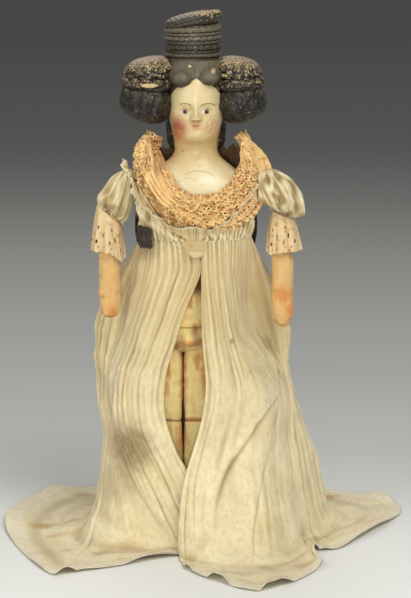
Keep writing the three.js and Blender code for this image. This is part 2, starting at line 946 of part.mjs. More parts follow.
function cuff(side, slope, corner) {
  const top = shoulderZ - sleeveDrop - cuffGap;
  const inner = armRadius + fitGap;
  const face = (depth) =>
    cuffRiseShares.map((rise) => {
      const open = (1 - rise) ** 0.8;
      const middle = armRing(1, side, lerp(shoulderZ - cuffDrop, top, rise), 0)[0];
      return Array.from({ length: CUFF_COLUMNS }, (_, k) => {
        const turn = (FULL_TURN * k) / CUFF_COLUMNS;
        const pressed = 1 - cuffPressShare * Math.max(-side * Math.sin(turn), 0);
        const wave = cuffWave * (1 + Math.cos(turn * CUFF_SCALLOPS));
        const r = inner + (cuffFlare + wave) * open * pressed + depth;
        const hang = corner * Math.max(Math.cos(turn + side * cuffCornerTurn), 0) ** 4;
        const lift = slope * side * Math.sin(turn) * (inner + depth);
        const z = lerp(shoulderZ - cuffDrop - hang, top + lift, rise);
        return ovalPoint(middle.x, z, turn, r, r, r, middle.y);
      });
    });
  return sheet(face(clothThickness), face(0), true).subtract(stubHole(side));
}

// The lace bertha lies on the chest in front. At the sides and behind it goes over the shoulders
// and stands up round the neck. Rows hold degrees from the front and the share of the way from
// lying to standing.
const LACE_WAVES = 12;
const laceStandShares = [
  [0, 0],
  [24, 0.04],
  [44, 0.5],
  [66, 0.95],
  [100, 1],
  [130, 0.8],
  [180, 0.7],
];
const laceDrawShare = 0.35;

function laceBertha() {
  const rises = [0, 0.3, 0.65, 1];
  const rows = rises.map((rise) => (turn) => {
    const stand = readTable(laceStandShares, degreesFromFront(turn));
    const low = necklineZ(turn) + laceLift;
    const high = lerp(
      casingTopZ + bodiceFrontHeight + laceFrontHeight,
      necklineZ(turn) + laceCollarHeight,
      stand,
    );
    const drawn = laceDrawShare * stand * rise ** 2;
    const wave = laceWave * (1 + Math.cos(turn * LACE_WAVES)) * rise;
    return {
      z: lerp(low, high, rise),
      half: lerp(plateHalfWidth, neckHalfWidth, drawn) + laceEase + wave,
      front: lerp(plateFrontDepth, neckFrontDepth, drawn) + laceEase + wave,
      back: lerp(plateBackDepth, neckBackDepth, drawn) + laceEase + wave,
    };
  });
  return clothTube(BODICE_COLUMNS, rows, laceThickness);
}

// The skirt hangs from the waist in guides, which run from the slit's edge on her right, round
// the back, to the slit's edge on her left. Each row holds degrees round the waist, then x and y
// as shares: at the bell and at mid and low height of the skirt's sizes there, and where the cloth
// meets the floor and at the hem of the hem's sizes.
const skirtGuideShares = [
  [-2, -0.14, -0.96, -0.31, -0.89, -0.07, -0.89, 0.02, -0.31, 0.07, -0.34],
  [-45, -0.46, -0.74, -0.76, -0.74, -0.49, -0.86, -0.1, -0.31, -0.03, -0.37],
  [-66, -0.56, -0.36, -0.84, -0.36, -0.7, -0.54, -0.29, -0.29, -0.15, -0.44],
  [-82, -0.65, 0.06, -0.92, -0.04, -0.81, -0.25, -0.49, -0.28, -0.57, -0.67],
  [-94, -0.99, 0.24, -1, 0.16, -0.88, 0.03, -0.6, -0.12, -0.75, -0.69],
  [-110, -0.97, 0.6, -0.98, 0.5, -0.89, 0.4, -0.62, 0.09, -1, 0.12],
  [-132, -0.77, 0.98, -0.82, 1, -0.8, 1, -0.56, 0.41, -0.86, 0.78],
  [-158, -0.35, 1.15, -0.36, 1.3, -0.34, 1.45, -0.23, 0.6, -0.36, 0.96],
  [-180, 0, 1.2, 0, 1.38, 0, 1.55, -0.04, 0.64, 0, 1],
  [-202, 0.35, 1.15, 0.36, 1.3, 0.36, 1.45, 0.18, 0.61, 0.36, 0.97],
  [-228, 0.77, 0.98, 0.8, 1, 0.8, 1, 0.49, 0.42, 0.8, 0.75],
  [-252, 0.97, 0.6, 0.97, 0.5, 0.97, 0.5, 0.6, 0.2, 1, 0.42],
  [-266, 0.98, 0.24, 0.98, 0.16, 0.95, 0.07, 0.51, 0, 0.68, -0.24],
  [-276, 0.65, 0.06, 0.93, -0.05, 0.93, -0.18, 0.46, -0.14, 0.53, -0.34],
  [-292, 0.56, -0.36, 0.85, -0.4, 0.88, -0.62, 0.44, -0.37, 0.55, -0.6],
  [-315, 0.46, -0.74, 0.7, -0.82, 0.65, -1, 0.28, -0.53, 0.28, -1],
  [-340, 0.3, -0.94, 0.38, -1, 0.21, -1.1, 0.03, -0.56, 0.03, -0.82],
  [-358, 0.05, -1, 0.09, -0.96, -0.07, -1.08, -0.13, -0.42, -0.1, -0.63],
];
// How strongly the pleats stand out at each of the six levels
const pleatShares = [
  [0, 0.3],
  [1, 1],
  [2, 1],
  [3, 0.9],
  [4, 0.5],
  [5, 0.15],
];
const SKIRT_ROWS = 10;
const COLUMNS_PER_GUIDE = 5;
const LEVELS = 6;

function skirtGuides() {
  const top = gownSizeAt(waistZ);
  const rim = gatherDepth;
  const clothZ = clothThickness / 2;
  const middle = bodyX + skirtLean;
  return skirtGuideShares.map(([degrees, bx, by, mx, my, lx, ly, fx, fy, hx, hy]) => {
    const turn = degToRad(degrees);
    const waist = ovalPoint(
      bodyX,
      waistZ - skirtJoinDrop,
      turn,
      top.half + rim,
      top.front + rim,
      top.back + rim,
    );
    return [
      waist,
      new Vector3(middle + bellHalfWidth * bx, bellDepth * by, bellZ),
      new Vector3(middle + skirtHalfWidth * mx, skirtDepth * my, midHeight),
      new Vector3(middle + skirtHalfWidth * lx, skirtDepth * ly, lowHeight),
      new Vector3(hemHalfWidth * fx, hemHalfDepth * fy, clothZ + floorLift),
      new Vector3(hemHalfWidth * hx, hemHalfDepth * hy, clothZ),
    ];
  });
}

const skirtLevels = Array.from({ length: LEVELS }, (_, level) =>
  skirtGuides().map((guide) => guide[level]),
);

function skirtPoint(place, level) {
  const across = skirtLevels.map((points) => alongCurve(points, place));
  return alongCurve(across, level);
}

function skirtFrame(place, level) {
  const step = 0.02;
  const lastPlace = skirtGuideShares.length - 1;
  const [p0, p1] = [Math.max(place - step, 0), Math.min(place + step, lastPlace)];
  const [l0, l1] = [Math.max(level - step, 0), Math.min(level + step, LEVELS - 1)];
  const across = skirtPoint(p1, level).sub(skirtPoint(p0, level));
  const down = skirtPoint(place, l1).sub(skirtPoint(place, l0));
  return across.cross(down).normalize();
}

// One breadth of the skirt, between two guides. A narrow gap is left at the seams.
function skirtPanel(from, to, gapFrom, gapTo) {
  const columns = Math.round((to - from) * COLUMNS_PER_GUIDE);
  const outer = [];
  const inner = [];
  for (let i = 0; i <= SKIRT_ROWS; i++) {
    const level = ((LEVELS - 1) * i) / SKIRT_ROWS;
    const outerRow = [];
    const innerRow = [];
    for (let j = 0; j <= columns; j++) {
      const place = from + ((to - from) * j) / columns;
      const point = skirtPoint(place, level);
      const normal = skirtFrame(place, level);
      const wave = (1 - Math.cos(FULL_TURN * place)) / 2;
      const rise = pleatHeight * readTable(pleatShares, level) * wave;
      point.addScaledVector(normal, rise);
      if ((j === 0 && gapFrom) || (j === columns && gapTo)) {
        const inward = skirtPoint(place + (j === 0 ? 0.1 : -0.1), level);
        const along = inward.sub(skirtPoint(place, level)).normalize();
        point.addScaledVector(along, seamGap / 2);
      }
      const half = clothThickness / 2;
      const outside = point.clone().addScaledVector(normal, half);
      const inside = point.clone().addScaledVector(normal, -half);
      inside.z = Math.max(inside.z, 0);
      outside.z = Math.max(outside.z, clothThickness);
      outerRow.push(outside);
      innerRow.push(inside);
    }
    outer.push(outerRow);
    inner.push(innerRow);
  }
  return sheet(outer, inner, false);
}

const LEFT_SEAM_GUIDE = 10;
const RIGHT_SEAM_GUIDE = 6;
const LAST_GUIDE = skirtGuideShares.length - 1;

// Materials
function finish(color, roughness) {
  return new THREE.MeshStandardMaterial({ color, roughness, metalness: 0 });
}

const paintedFlesh = finish(0xe8d5a4, 0.42);
const blackHair = finish(0x2a2622, 0.5);
const pegWood = finish(0xb08a56, 0.8);
const stuffedMuslin = finish(0xe3bd84, 0.9);
const gownMuslin = finish(0xd9d2b4, 0.92);
const eyeletCotton = finish(0xe9d2a6, 0.92);
const agedLace = finish(0xd8a55c, 0.95);

const doll = new THREE.Group();

function addPiece(name, solid, material) {
  const mesh = new THREE.Mesh(toGeometry(solid), material);
  mesh.name = name;
  doll.add(mesh);
}

function addHead() {
  const halves = headHalves();
  const skin = bustSolid(fitGap);
  const knot = topknot();
  const knotSpace = knot.add(
    loft([
      knotRing(knotBaseZ - cutOverrun, knotRadius + fitGap, 0, 0),
      knotRing(knotTopZ + cutOverrun, knotRadius + fitGap, 0, 0),
    ]),
  );
  const rolls = [-1, 1].map((side) => {
    const near = bodyX + side * fitGap;
    const far = bodyX + side * rollSpacing * 2;
    const sideOfPart = block(
      new Vector3(Math.min(near, far), -rollDepth, neckBaseZ),
      new Vector3(Math.max(near, far), rollDepth, knotTopZ),
    );
    return browRoll(side, 0).subtract(skin).subtract(knotSpace).intersect(sideOfPart);
  });
  const rollSpace = browRoll(-1, fitGap).add(browRoll(1, fitGap));
  const curls = [
    [-1, rightCurlsReach],
    [1, leftCurlsReach],
  ].map(([side, reach]) =>
    sideCurls(side, reach).subtract(skin).subtract(rollSpace).subtract(knotSpace),
  );
  const drilled = peg(fitGap);
  addPiece("head_front_half", halves.front.subtract(drilled), paintedFlesh);
  addPiece("head_back_half", halves.back.subtract(drilled), blackHair);
  addPiece("right_side_curls", curls[0], blackHair);
  addPiece("left_side_curls", curls[1], blackHair);
  addPiece("right_brow_roll", rolls[0], blackHair);
  addPiece("left_brow_roll", rolls[1], blackHair);
  addPiece("plaited_topknot", knot.subtract(skin).subtract(drilled), blackHair);
  addPiece("topknot_peg", peg(0), pegWood);
}

function addBody() {
  addPiece("torso", torso(), stuffedMuslin);
  addPiece("right_arm", arm(-1, rightArmLength), stuffedMuslin);
  addPiece("left_arm", arm(1, leftArmLength), stuffedMuslin);
  addPiece("right_thigh", thigh(-1), stuffedMuslin);
  addPiece("left_thigh", thigh(1), stuffedMuslin);
  addPiece("right_shin", shin(-1), stuffedMuslin);
  addPiece("left_shin", shin(1), stuffedMuslin);
}

function addGown() {
  addPiece("bodice", bodice(), gownMuslin);
  addPiece("waist_casing", waistCasing(), gownMuslin);
  addPiece("front_neck_frill", necklineFrill(0), gownMuslin);
  addPiece("back_neck_frill", necklineFrill(Math.PI), gownMuslin);
  addPiece("placket_tab", placketTab(), gownMuslin);
  addPiece("right_sleeve", sleeve(-1, rightSleeveRadius, rightSleeveSlope), gownMuslin);
  addPiece("left_sleeve", sleeve(1, leftSleeveRadius, leftSleeveSlope), gownMuslin);
  addPiece("right_cuff", cuff(-1, rightSleeveSlope, rightCuffCorner), eyeletCotton);
  addPiece("left_cuff", cuff(1, leftSleeveSlope, leftCuffCorner), eyeletCotton);
  addPiece("lace_bertha", laceBertha(), agedLace);
  addPiece("skirt_right_breadth", skirtPanel(0, RIGHT_SEAM_GUIDE, false, true), gownMuslin);
  addPiece("skirt_back_breadth", skirtPanel(RIGHT_SEAM_GUIDE, LEFT_SEAM_GUIDE, true, true), gownMuslin);
  addPiece("skirt_left_breadth", skirtPanel(LEFT_SEAM_GUIDE, LAST_GUIDE, true, false), gownMuslin);
}

addHead();
addBody();
addGown();

export default doll;
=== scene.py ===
import math

import bmesh
import bpy
import numpy as np
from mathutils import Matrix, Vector
from mathutils.bvhtree import BVHTree


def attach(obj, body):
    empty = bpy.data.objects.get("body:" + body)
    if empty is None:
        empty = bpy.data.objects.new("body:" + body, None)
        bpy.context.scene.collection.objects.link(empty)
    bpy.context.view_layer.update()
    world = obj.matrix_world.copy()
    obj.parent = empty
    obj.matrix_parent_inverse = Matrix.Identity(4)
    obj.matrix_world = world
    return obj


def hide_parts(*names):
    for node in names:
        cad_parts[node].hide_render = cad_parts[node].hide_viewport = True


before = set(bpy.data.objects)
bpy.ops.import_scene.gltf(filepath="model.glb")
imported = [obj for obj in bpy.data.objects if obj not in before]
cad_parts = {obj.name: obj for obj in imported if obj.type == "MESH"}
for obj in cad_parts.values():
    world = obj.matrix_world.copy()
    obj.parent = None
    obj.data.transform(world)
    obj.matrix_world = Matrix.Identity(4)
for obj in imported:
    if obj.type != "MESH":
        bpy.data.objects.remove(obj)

MM = 0.001
TURN = 2 * math.pi
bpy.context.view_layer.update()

# The photographer's view
# A long lens, higher than the doll's head. It looks down by ten degrees at the middle of the gown.
camera_place = (0, -2400, 640)
aim_height = 206
lens_length = 172.6
film_width = 36
clip_metres = 100


def add_object(name, data):
    made = bpy.data.objects.new(name, data)
    bpy.context.scene.collection.objects.link(made)
    return made


def aim_at_gown(holder, place):
    """Puts a camera or a lamp at its place, turned to the middle of the gown."""
    holder.location = Vector(place) * MM
    toward = Vector((0, 0, aim_height)) * MM - holder.location
    holder.rotation_euler = toward.to_track_quat("-Z", "Y").to_euler()


camera = add_object("camera", bpy.data.cameras.new("camera"))
bpy.context.scene.camera = camera
camera.data.lens = lens_length
camera.data.sensor_width = film_width
camera.data.clip_end = clip_metres
aim_at_gown(camera, camera_place)

# The table and the lamps
# A pale table top that runs on behind her, under one broad soft lamp on her left, weaker ones on her
# right, low in front and behind, and an even room light.
table_reach = 9000
table_roughness = 0.8
table_shine = 0.1
# Distance behind the doll in mm, and the grey of the table there: painted shade that darkens the table with
# distance, standing for the lamps' light falling off
table_falloff_greys = [
    (-200, 0.9), (60, 0.79), (316, 0.58), (700, 0.46),
    (1140, 0.38), (2000, 0.25), (2610, 0.19), (5000, 0.14),
]
grey_blue_share = 0.95
# Each lamp: its place, its width in mm and its power in watts
lamps = {
    "window_lamp": ((800, -1600, 2200), 1400, 35),
    "side_lamp": ((-1500, -1500, 900), 1400, 11),
    "front_lamp": ((-120, -2500, 330), 500, 15),
    "back_lamp": ((-300, 1500, 1500), 1000, 7),
}
room_strength = 0.34

bpy.context.scene.view_settings.view_transform = "Standard"


def add_mesh(name, points, faces):
    """A piece from points in millimetres."""
    mesh = bpy.data.meshes.new(name)
    points = np.asarray(points, dtype=float).reshape(-1, 3) * MM
    mesh.from_pydata(points.tolist(), [], faces.tolist() if isinstance(faces, np.ndarray) else faces)
    mesh.shade_smooth()
    return add_object(name, mesh)


r = table_reach
table = add_mesh("table_top", [(-r, -r, 0), (r, -r, 0), (r, r, 0), (-r, r, 0)], [(0, 1, 2, 3)])
table_paint = bpy.data.materials.new("table_paint")
table_paint.use_nodes = True
nodes, links = table_paint.node_tree.nodes, table_paint.node_tree.links
shader = nodes["Principled BSDF"]
shader.inputs["Roughness"].default_value = table_roughness
shader.inputs["Specular IOR Level"].default_value = table_shine
place = nodes.new("ShaderNodeTexCoord")
split = nodes.new("ShaderNodeSeparateXYZ")
span = nodes.new("ShaderNodeMapRange")
greys = nodes.new("ShaderNodeValToRGB")
near_end, far_end = table_falloff_greys[0][0], table_falloff_greys[-1][0]
span.inputs["From Min"].default_value = near_end * MM
span.inputs["From Max"].default_value = far_end * MM
links.new(place.outputs["Object"], split.inputs[0])
links.new(split.outputs["Y"], span.inputs["Value"])
links.new(span.outputs["Result"], greys.inputs["Fac"])
links.new(greys.outputs["Color"], shader.inputs["Base Color"])
for distance, grey in table_falloff_greys[1:-1]:
    greys.color_ramp.elements.new((distance - near_end) / (far_end - near_end))
for stop, (distance, grey) in zip(greys.color_ramp.elements, table_falloff_greys):
    stop.color = (grey, grey, grey * grey_blue_share, 1)
table.data.materials.append(table_paint)

for name, (place, width, power) in lamps.items():
    lamp = bpy.data.lights.new(name, "AREA")
    lamp.shape = "DISK"
    lamp.size = width * MM
    lamp.energy = power
    aim_at_gown(add_object(name, lamp), place)

room = bpy.data.worlds.new("room")
bpy.context.scene.world = room
room.use_nodes = True
room_light = room.node_tree.nodes["Background"]
room_light.inputs["Color"].default_value = (1, 1, 1, 1)
room_light.inputs["Strength"].default_value = room_strength

# The shoulder head
# Pressed papier-mache in a front and a back half, glued at the ears. It is coated, painted in
# flesh colour with brown eyes and red cheeks, and varnished.
body_x = -8
plate_rim = 288
plate_rise = 44
plate_half = 50
plate_front = 31
plate_back = 28
neck_half = 18
neck_front = 16
neck_back = 17
chin_z = 344.5
head_height = 65
face_half = 23.3
face_depth = 26.5
skull_depth = 27
seam_turn = math.radians(96)
seam_gap = 0.3
neck_top = chin_z - 6

# Each row: share of the rise to the neck, share of the way from plate to neck
shoulder_shares = [(0, 0), (0.27, 0.01), (0.45, 0.14), (0.61, 0.38), (0.77, 0.69), (0.93, 0.93), (1.06, 1)]
# Each row: share of the head's height, shares of the half width, front depth and back depth
head_shares = [
    (-0.06, 0.79, 0.68, 0.65), (-0.01, 0.8, 0.82, 0.66), (0.06, 0.85, 0.91, 0.68),
    (0.12, 0.88, 0.94, 0.71), (0.18, 0.92, 0.96, 0.75), (0.24, 0.955, 0.97, 0.81),
    (0.3, 0.98, 0.975, 0.86), (0.37, 0.99, 0.97, 0.91), (0.45, 1, 0.98, 0.95),
    (0.56, 1, 1, 0.99), (0.67, 0.97, 0.99, 1), (0.78, 0.89, 0.91, 0.96),
    (0.87, 0.75, 0.76, 0.84), (0.94, 0.54, 0.55, 0.61), (0.985, 0.28, 0.28, 0.31),
    (0.999, 0.02, 0.02, 0.02),
]
# The bridge of the nose from the chin up: how far it stands out, and its half width
nose_ridge = [(14.5, 0), (16.5, 1.2), (18, 4.6), (19.5, 5.4), (22, 4.2), (27, 1.9), (31, 0.7), (35, 0)]
nose_width = [(14, 4.2), (18, 3.8), (20, 2.9), (26, 2.2), (34, 3), (40, 6)]
# Each feature: how far it stands out, its middle across and up from the chin, and its half sizes
face_hills = {
    "wing of the nose": (1.5, 3.4, 18.2, 1.5, 1.5),
    "upper lip": (1.1, 1.6, 13.2, 2.6, 1),
    "lower lip": (1.3, 0, 10.9, 3, 1.1),
    "line of the mouth": (-0.8, 0, 12.1, 4, 0.45),
    "dent under the lip": (-0.8, 0, 8.3, 4, 1.3),
    "chin": (2.2, 0, 3.4, 6, 3.6),
    "eye socket": (-2.2, 9.4, 25.2, 5, 4),
    "corner beside the nose": (-0.9, 5, 27.5, 2, 3),
    "eyeball": (1.6, 9, 24, 3.9, 2.3),
    "fold of the lid": (-0.4, 9, 26.3, 4, 0.5),
    "brow": (0.7, 9.4, 31, 6.5, 2.4),
    "cheek": (0.9, 13.5, 15.5, 6, 6),
}


def read_curve(table, where):
    """Numbers off a table of (where, value) pairs, along a smooth curve that doesn't overshoot."""
    xs, ys = (np.array(column, dtype=float) for column in zip(*table))
    steps = np.diff(xs)
    slopes = np.diff(ys) / steps
    tangents = np.zeros_like(ys)
    same = slopes[:-1] * slopes[1:] > 0
    tangents[1:-1][same] = (2 * slopes[:-1] * slopes[1:])[same] / (slopes[:-1] + slopes[1:])[same]
    tangents[0], tangents[-1] = slopes[0], slopes[-1]
    where = np.clip(where, xs[0], xs[-1])
    i = np.clip(np.searchsorted(xs, where) - 1, 0, len(steps) - 1)
    t = (where - xs[i]) / steps[i]
    return (
        ys[i] * (1 + 2 * t) * (1 - t) ** 2
        + ys[i + 1] * t**2 * (3 - 2 * t)
        + tangents[i] * steps[i] * t * (1 - t) ** 2
        - tangents[i + 1] * steps[i] * t**2 * (1 - t)
    )


def read_columns(rows, where, columns):
    """The named columns of a table of rows, read along its first column."""
    return [read_curve([(row[0], row[k]) for row in rows], where) for k in columns]


def bust_sizes(z):
    """Half width, front depth and back depth of the bust at a height."""
    shoulder = [(plate_rim + plate_rise * up, drawn) for up, drawn in shoulder_shares]
    wides = (plate_half, plate_front, plate_back)
    narrows = (neck_half, neck_front, neck_back)
    heads = (face_half, face_depth, skull_depth)
    sizes = []
    for column, (wide, narrow, head) in enumerate(zip(wides, narrows, heads), 1):
        table = [(at, wide + (narrow - wide) * drawn) for at, drawn in shoulder]
        table += [(chin_z + head_height * row[0], head * row[column]) for row in head_shares]
        sizes.append(read_curve(table, z))
    return sizes


def hill(across, up, at_across, at_up, wide, tall):
    return np.exp(-(((across - at_across) / wide) ** 2) - ((up - at_up) / tall) ** 2)


def band(value, middle, wide):
    """1 at the middle, falling away on both sides."""
    return np.exp(-(((value - middle) / wide) ** 2))


def ramp(value, start, length):
    """0 up to start and 1 from a length further on, straight between them."""
    return np.clip((value - start) / length, 0, 1)


def face_relief(across, z):
    """How far the modelled features stand out from the plain oval, in front."""
    side = np.abs(across)
    up = z - chin_z
    nose = read_curve(nose_ridge, up) * band(side, 0, read_curve(nose_width, up))
    return nose + sum(out * hill(side, up, *shape) for out, *shape in face_hills.values())


def rings(columns, low, high, rows):
    """Turns round an upright piece and heights up it, as two grids."""
    return np.meshgrid(np.linspace(0, TURN, columns, endpoint=False), np.linspace(low, high, rows))


def oval(turn, z, sizes, x=body_x, y=0):
    """Points round an oval of a half width, a front depth and a back depth."""
    half, front, back = sizes
    depth = np.where(np.cos(turn) > 0, front, back)
    return np.stack([x + half * np.sin(turn), y - depth * np.cos(turn), z + 0 * turn], axis=-1)


def bust_points(turns, heights):
    turn, z = np.meshgrid(turns, heights)
    points = oval(turn, z, bust_sizes(z))
    facing = np.clip(np.cos(turn), 0, 1) ** 0.5
    points[..., 1] -= face_relief(points[..., 0] - body_x, z) * facing
    return points


def grid_faces(rows, columns, closed):
    i, j = np.meshgrid(np.arange(rows - 1), np.arange(columns if closed else columns - 1), indexing="ij")
    after = (j + 1) % columns
    corners = [i * columns + j, i * columns + after, (i + 1) * columns + after, (i + 1) * columns + j]
    return np.stack(corners, axis=-1).reshape(-1, 4)


def give_numbers(piece, name, values):
    """One number per point, for the finish to read."""
    values = np.broadcast_to(values, len(piece.data.vertices)) if np.ndim(values) == 0 else values
    values = np.asarray(values, dtype=float).ravel()
    piece.data.attributes.new(name, "FLOAT", "POINT").data.foreach_set("value", values)


def srgb(r, g, b):
    """A colour as it looks on the object, in 0 to 255, as the shader wants it."""
    return tuple(((c / 255 + 0.055) / 1.055) ** 2.4 if c > 10 else c / 255 / 12.92 for c in (r, g, b))


class Finish:
    """A node material, with short ways to lay colour and relief on it."""

    def __init__(self, name, roughness=0.6, sheen=0):
        self.material = bpy.data.materials.new(name)
        self.material.use_nodes = True
        self.tree = self.material.node_tree
        self.shader = self.tree.nodes["Principled BSDF"]
        self.set("Roughness", roughness)
        self.set("Sheen Weight", sheen)
        place = self.tree.nodes.new("ShaderNodeTexCoord").outputs["Object"]
        self.place = self.vector("SCALE", place, scale=1 / MM)
        self.x, self.y, self.z = self.parts_of(self.place)
        self.tone = None

    def set(self, name, value):
        self.put(value, self.shader.inputs[name])

    def put(self, value, socket):
        if isinstance(value, bpy.types.NodeSocket):
            self.tree.links.new(value, socket)
        elif isinstance(value, (int, float)):
            socket.default_value = value
        else:
            socket.default_value = tuple(value) + (1,) * (len(socket.default_value) - len(value))

    def parts_of(self, vector):
        split = self.tree.nodes.new("ShaderNodeSeparateXYZ")
        self.tree.links.new(vector, split.inputs[0])
        return split.outputs

    def vector(self, operation, a, b=None, scale=None):
        node = self.tree.nodes.new("ShaderNodeVectorMath")
        node.operation = operation
        self.put(a, node.inputs[0])
        if b is not None:
            self.put(b, node.inputs[1])
        if scale is not None:
            node.inputs["Scale"].default_value = scale
        return node.outputs[0]

    def math(self, operation, a, b=0.0):
        node = self.tree.nodes.new("ShaderNodeMath")
        node.operation = operation
        self.put(a, node.inputs[0])
        self.put(b, node.inputs[1])
        return node.outputs[0]

    def add(self, a, b):
        return self.math("ADD", a, b)

    def take(self, a, b):
        return self.math("SUBTRACT", a, b)

    def times(self, first, *others):
        for other in others:
            first = self.math("MULTIPLY", first, other)
        return first

    def most(self, a, b):
        return self.math("MAXIMUM", a, b)

    def size(self, a):
        return self.math("ABSOLUTE", a)

    def step(self, value, low, high):
        """0 at low and 1 at high, smoothly; low may be the larger."""
        node = self.tree.nodes.new("ShaderNodeMapRange")
        node.interpolation_type = "SMOOTHSTEP"
        self.put(value, node.inputs["Value"])
        flip = low > high
        node.inputs["From Min"].default_value = high if flip else low
        node.inputs["From Max"].default_value = low if flip else high
        node.inputs["To Min"].default_value = 1 if flip else 0
        node.inputs["To Max"].default_value = 0 if flip else 1
        return node.outputs["Result"]

    def noise(self, size, detail=3, stretch=(1, 1, 1), shift=0):
        node = self.tree.nodes.new("ShaderNodeTexNoise")
        node.inputs["Scale"].default_value = 1 / size
        node.inputs["Detail"].default_value = detail
        node.inputs["Roughness"].default_value = 0.55
        moved = self.vector("MULTIPLY", self.place, [1 / s for s in stretch])
        self.put(self.vector("ADD", moved, (shift * size, shift * size, 0)), node.inputs["Vector"])
        return node.outputs["Fac"]

    def patches(self, low, high, *size, **more):
        """1 in soft random patches and 0 between them."""
        return self.step(self.noise(*size, **more), low, high)

    def ragged(self, value, share, low, high, *size, **more):
        """A soft edge broken up by random patches."""
        return self.step(self.add(value, self.times(self.noise(*size, **more), share)), low, high)

    def cells(self, size, feature="DISTANCE_TO_EDGE"):
        node = self.tree.nodes.new("ShaderNodeTexVoronoi")
        node.feature = feature
        node.inputs["Scale"].default_value = 1 / size
        self.put(self.place, node.inputs["Vector"])
        return node.outputs["Distance"]

    def number(self, name):
        node = self.tree.nodes.new("ShaderNodeAttribute")
        node.attribute_name = name
        return node.outputs["Fac"]

    def blend(self, amount, under, over):
        node = self.tree.nodes.new("ShaderNodeMix")
        node.data_type = "RGBA"
        self.put(amount, node.inputs["Factor"])
        self.put(under, node.inputs[6])
        self.put(over, node.inputs[7])
        return node.outputs[2]

    def mottle(self, amount, one, other):
        """Two tones of one paint or cloth."""
        return self.blend(amount, srgb(*one), srgb(*other))

    def ground(self, amount, one, other):
        """Starts the colour with two tones of one paint or cloth."""
        self.tone = self.mottle(amount, one, other)

    def lay(self, amount, colour, strength=1):
        """Lays a colour over what is there so far."""
        if strength != 1:
            amount = self.times(amount, strength)
        self.tone = self.blend(amount, self.tone, srgb(*colour))

    def distance(self, centre, radii=(1, 1)):
        """How far a place on the front is from a middle, in shares of the half sizes."""
        across = self.times(self.take(self.x, centre[0]), 1 / radii[0])
        up = self.times(self.take(self.z, centre[1]), 1 / radii[1])
        return self.math("SQRT", self.add(self.times(across, across), self.times(up, up)))

    def spot(self, centre, radii, soft=0.35):
        """1 inside an oval on the front, fading to 0 outside it."""
        return self.step(self.distance(centre, radii), 1 + soft, 1 - soft)

    def arc(self, centre, radius, thick, half_degrees, soft):
        """A thin painted arc: part of a circle about a centre, open downwards."""
        off = self.size(self.take(self.distance(centre), radius))
        across, up = self.take(self.x, centre[0]), self.take(self.z, centre[1])
        turned = self.size(self.math("ARCTAN2", across, up))
        line = self.step(off, thick * (1 + soft), thick * (1 - soft))
        half_angle = math.radians(half_degrees)
        return self.times(line, self.step(turned, half_angle, half_angle * 0.7))

    def weave(self, size, depth):
        """A plain weave: two crossed sets of threads, the same on front and side faces."""
        upright = self.math("SINE", self.times(self.add(self.x, self.y), TURN / size))
        level = self.math("SINE", self.times(self.z, TURN / size))
        return self.times(upright, level), depth

    def relief(self, *layers):
        """Bumps, each a (height, depth in millimetres) pair."""
        before = None
        for height, depth in layers:
            node = self.tree.nodes.new("ShaderNodeBump")
            node.inputs["Strength"].default_value = 1
            node.inputs["Distance"].default_value = depth * MM
            self.put(height, node.inputs["Height"])
            if before is not None:
                self.tree.links.new(before, node.inputs["Normal"])
            before = node.outputs["Normal"]
        self.tree.links.new(before, self.shader.inputs["Normal"])

    def show(self):
        self.set("Base Color", self.tone)


def dress(piece, finish, body, node=None):
    """Gives a piece its finish, parents it to the body it moves with, and hides the solid it stands for."""
    piece.data.materials.append(finish.material)
    if node:
        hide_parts(node)
    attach(piece, body)


eye_spacing = 9
eye_up = 24.1
chin = (body_x, chin_z)
jaw_up, jaw_half = 23.7, 24
# The brush's touches: the place from the chin, or from the eye's middle for the eyes, the half sizes,
# how soft the edge is, how strong the paint is, and its colour. Some are painted shade: over each lid, at
# the inner corner of her right eye, under the nose and beside it; the glint is a painted highlight.
touches = {
    "right_blush": ((-15.2, 10.1), (7, 9), 0.75, 0.88, (166, 70, 42)),
    "left_blush": ((12.4, 11), (6.4, 7.4), 0.8, 0.5, (200, 104, 72)),
    "inner_eye_shade": ((-4.4, 26.1), (1.7, 3.4), 0.7, 0.6, (196, 150, 70)),
    "lid_shade": ((0, 2.2), (5.6, 3.6), 0.6, 0.35, (190, 158, 96)),
    "white": ((0, 0), (4.8, 2.2), 0.2, 0.8, (208, 194, 156)),
    "iris": ((0, 0), (1.95, 1.85), 0.3, 1, (44, 38, 20)),
    "glint": ((0.9, 0.7), (0.5, 0.5), 0.5, 0.6, (150, 140, 104)),
    "lower_lid": ((0, -3), (4.4, 0.8), 0.6, 0.3, (180, 140, 84)),
    "nose_shade": ((0, 15.6), (4.6, 2), 0.6, 0.8, (176, 130, 78)),
    "nostril": ((2.1, 17), (1.2, 0.7), 0.5, 0.75, (112, 74, 40)),
    "nose_side_shade": ((4.6, 20), (1.5, 4), 0.7, 0.35, (180, 144, 86)),
    "upper_lip": ((1.7, 13), (2.5, 0.9), 0.35, 0.75, (186, 106, 76)),
    "lower_lip": ((0, 11), (3, 1.05), 0.4, 0.65, (204, 130, 96)),
    "parting": ((0, 12.1), (3.9, 0.35), 0.5, 0.7, (128, 66, 44)),
    "neck_spot": ((-11, -10), (0.8, 1.1), 0.5, 0.7, (140, 104, 60)),
}
# Thin arcs: the middle of the circle from the chin or the eye, its radius, half the line's width, half
# the angle in degrees and how soft the line is
arcs = {
    "upper_lid": ((0, -3.6), 5.9, 0.32, 52, 0.3),
    "right_brow": ((-8.8, 22.5), 8.6, 0.42, 40, 0.6),
    "left_brow": ((10.1, 21.5), 9.6, 0.42, 50, 0.6),
    "old_crack": ((2, -48.5), 23, 0.28, 46, 0.5),
    "second_crack": ((-6, -44.5), 13, 0.22, 60, 0.5),
}

flesh = Finish("painted_flesh")
front_only = flesh.step(flesh.y, -4, -9)


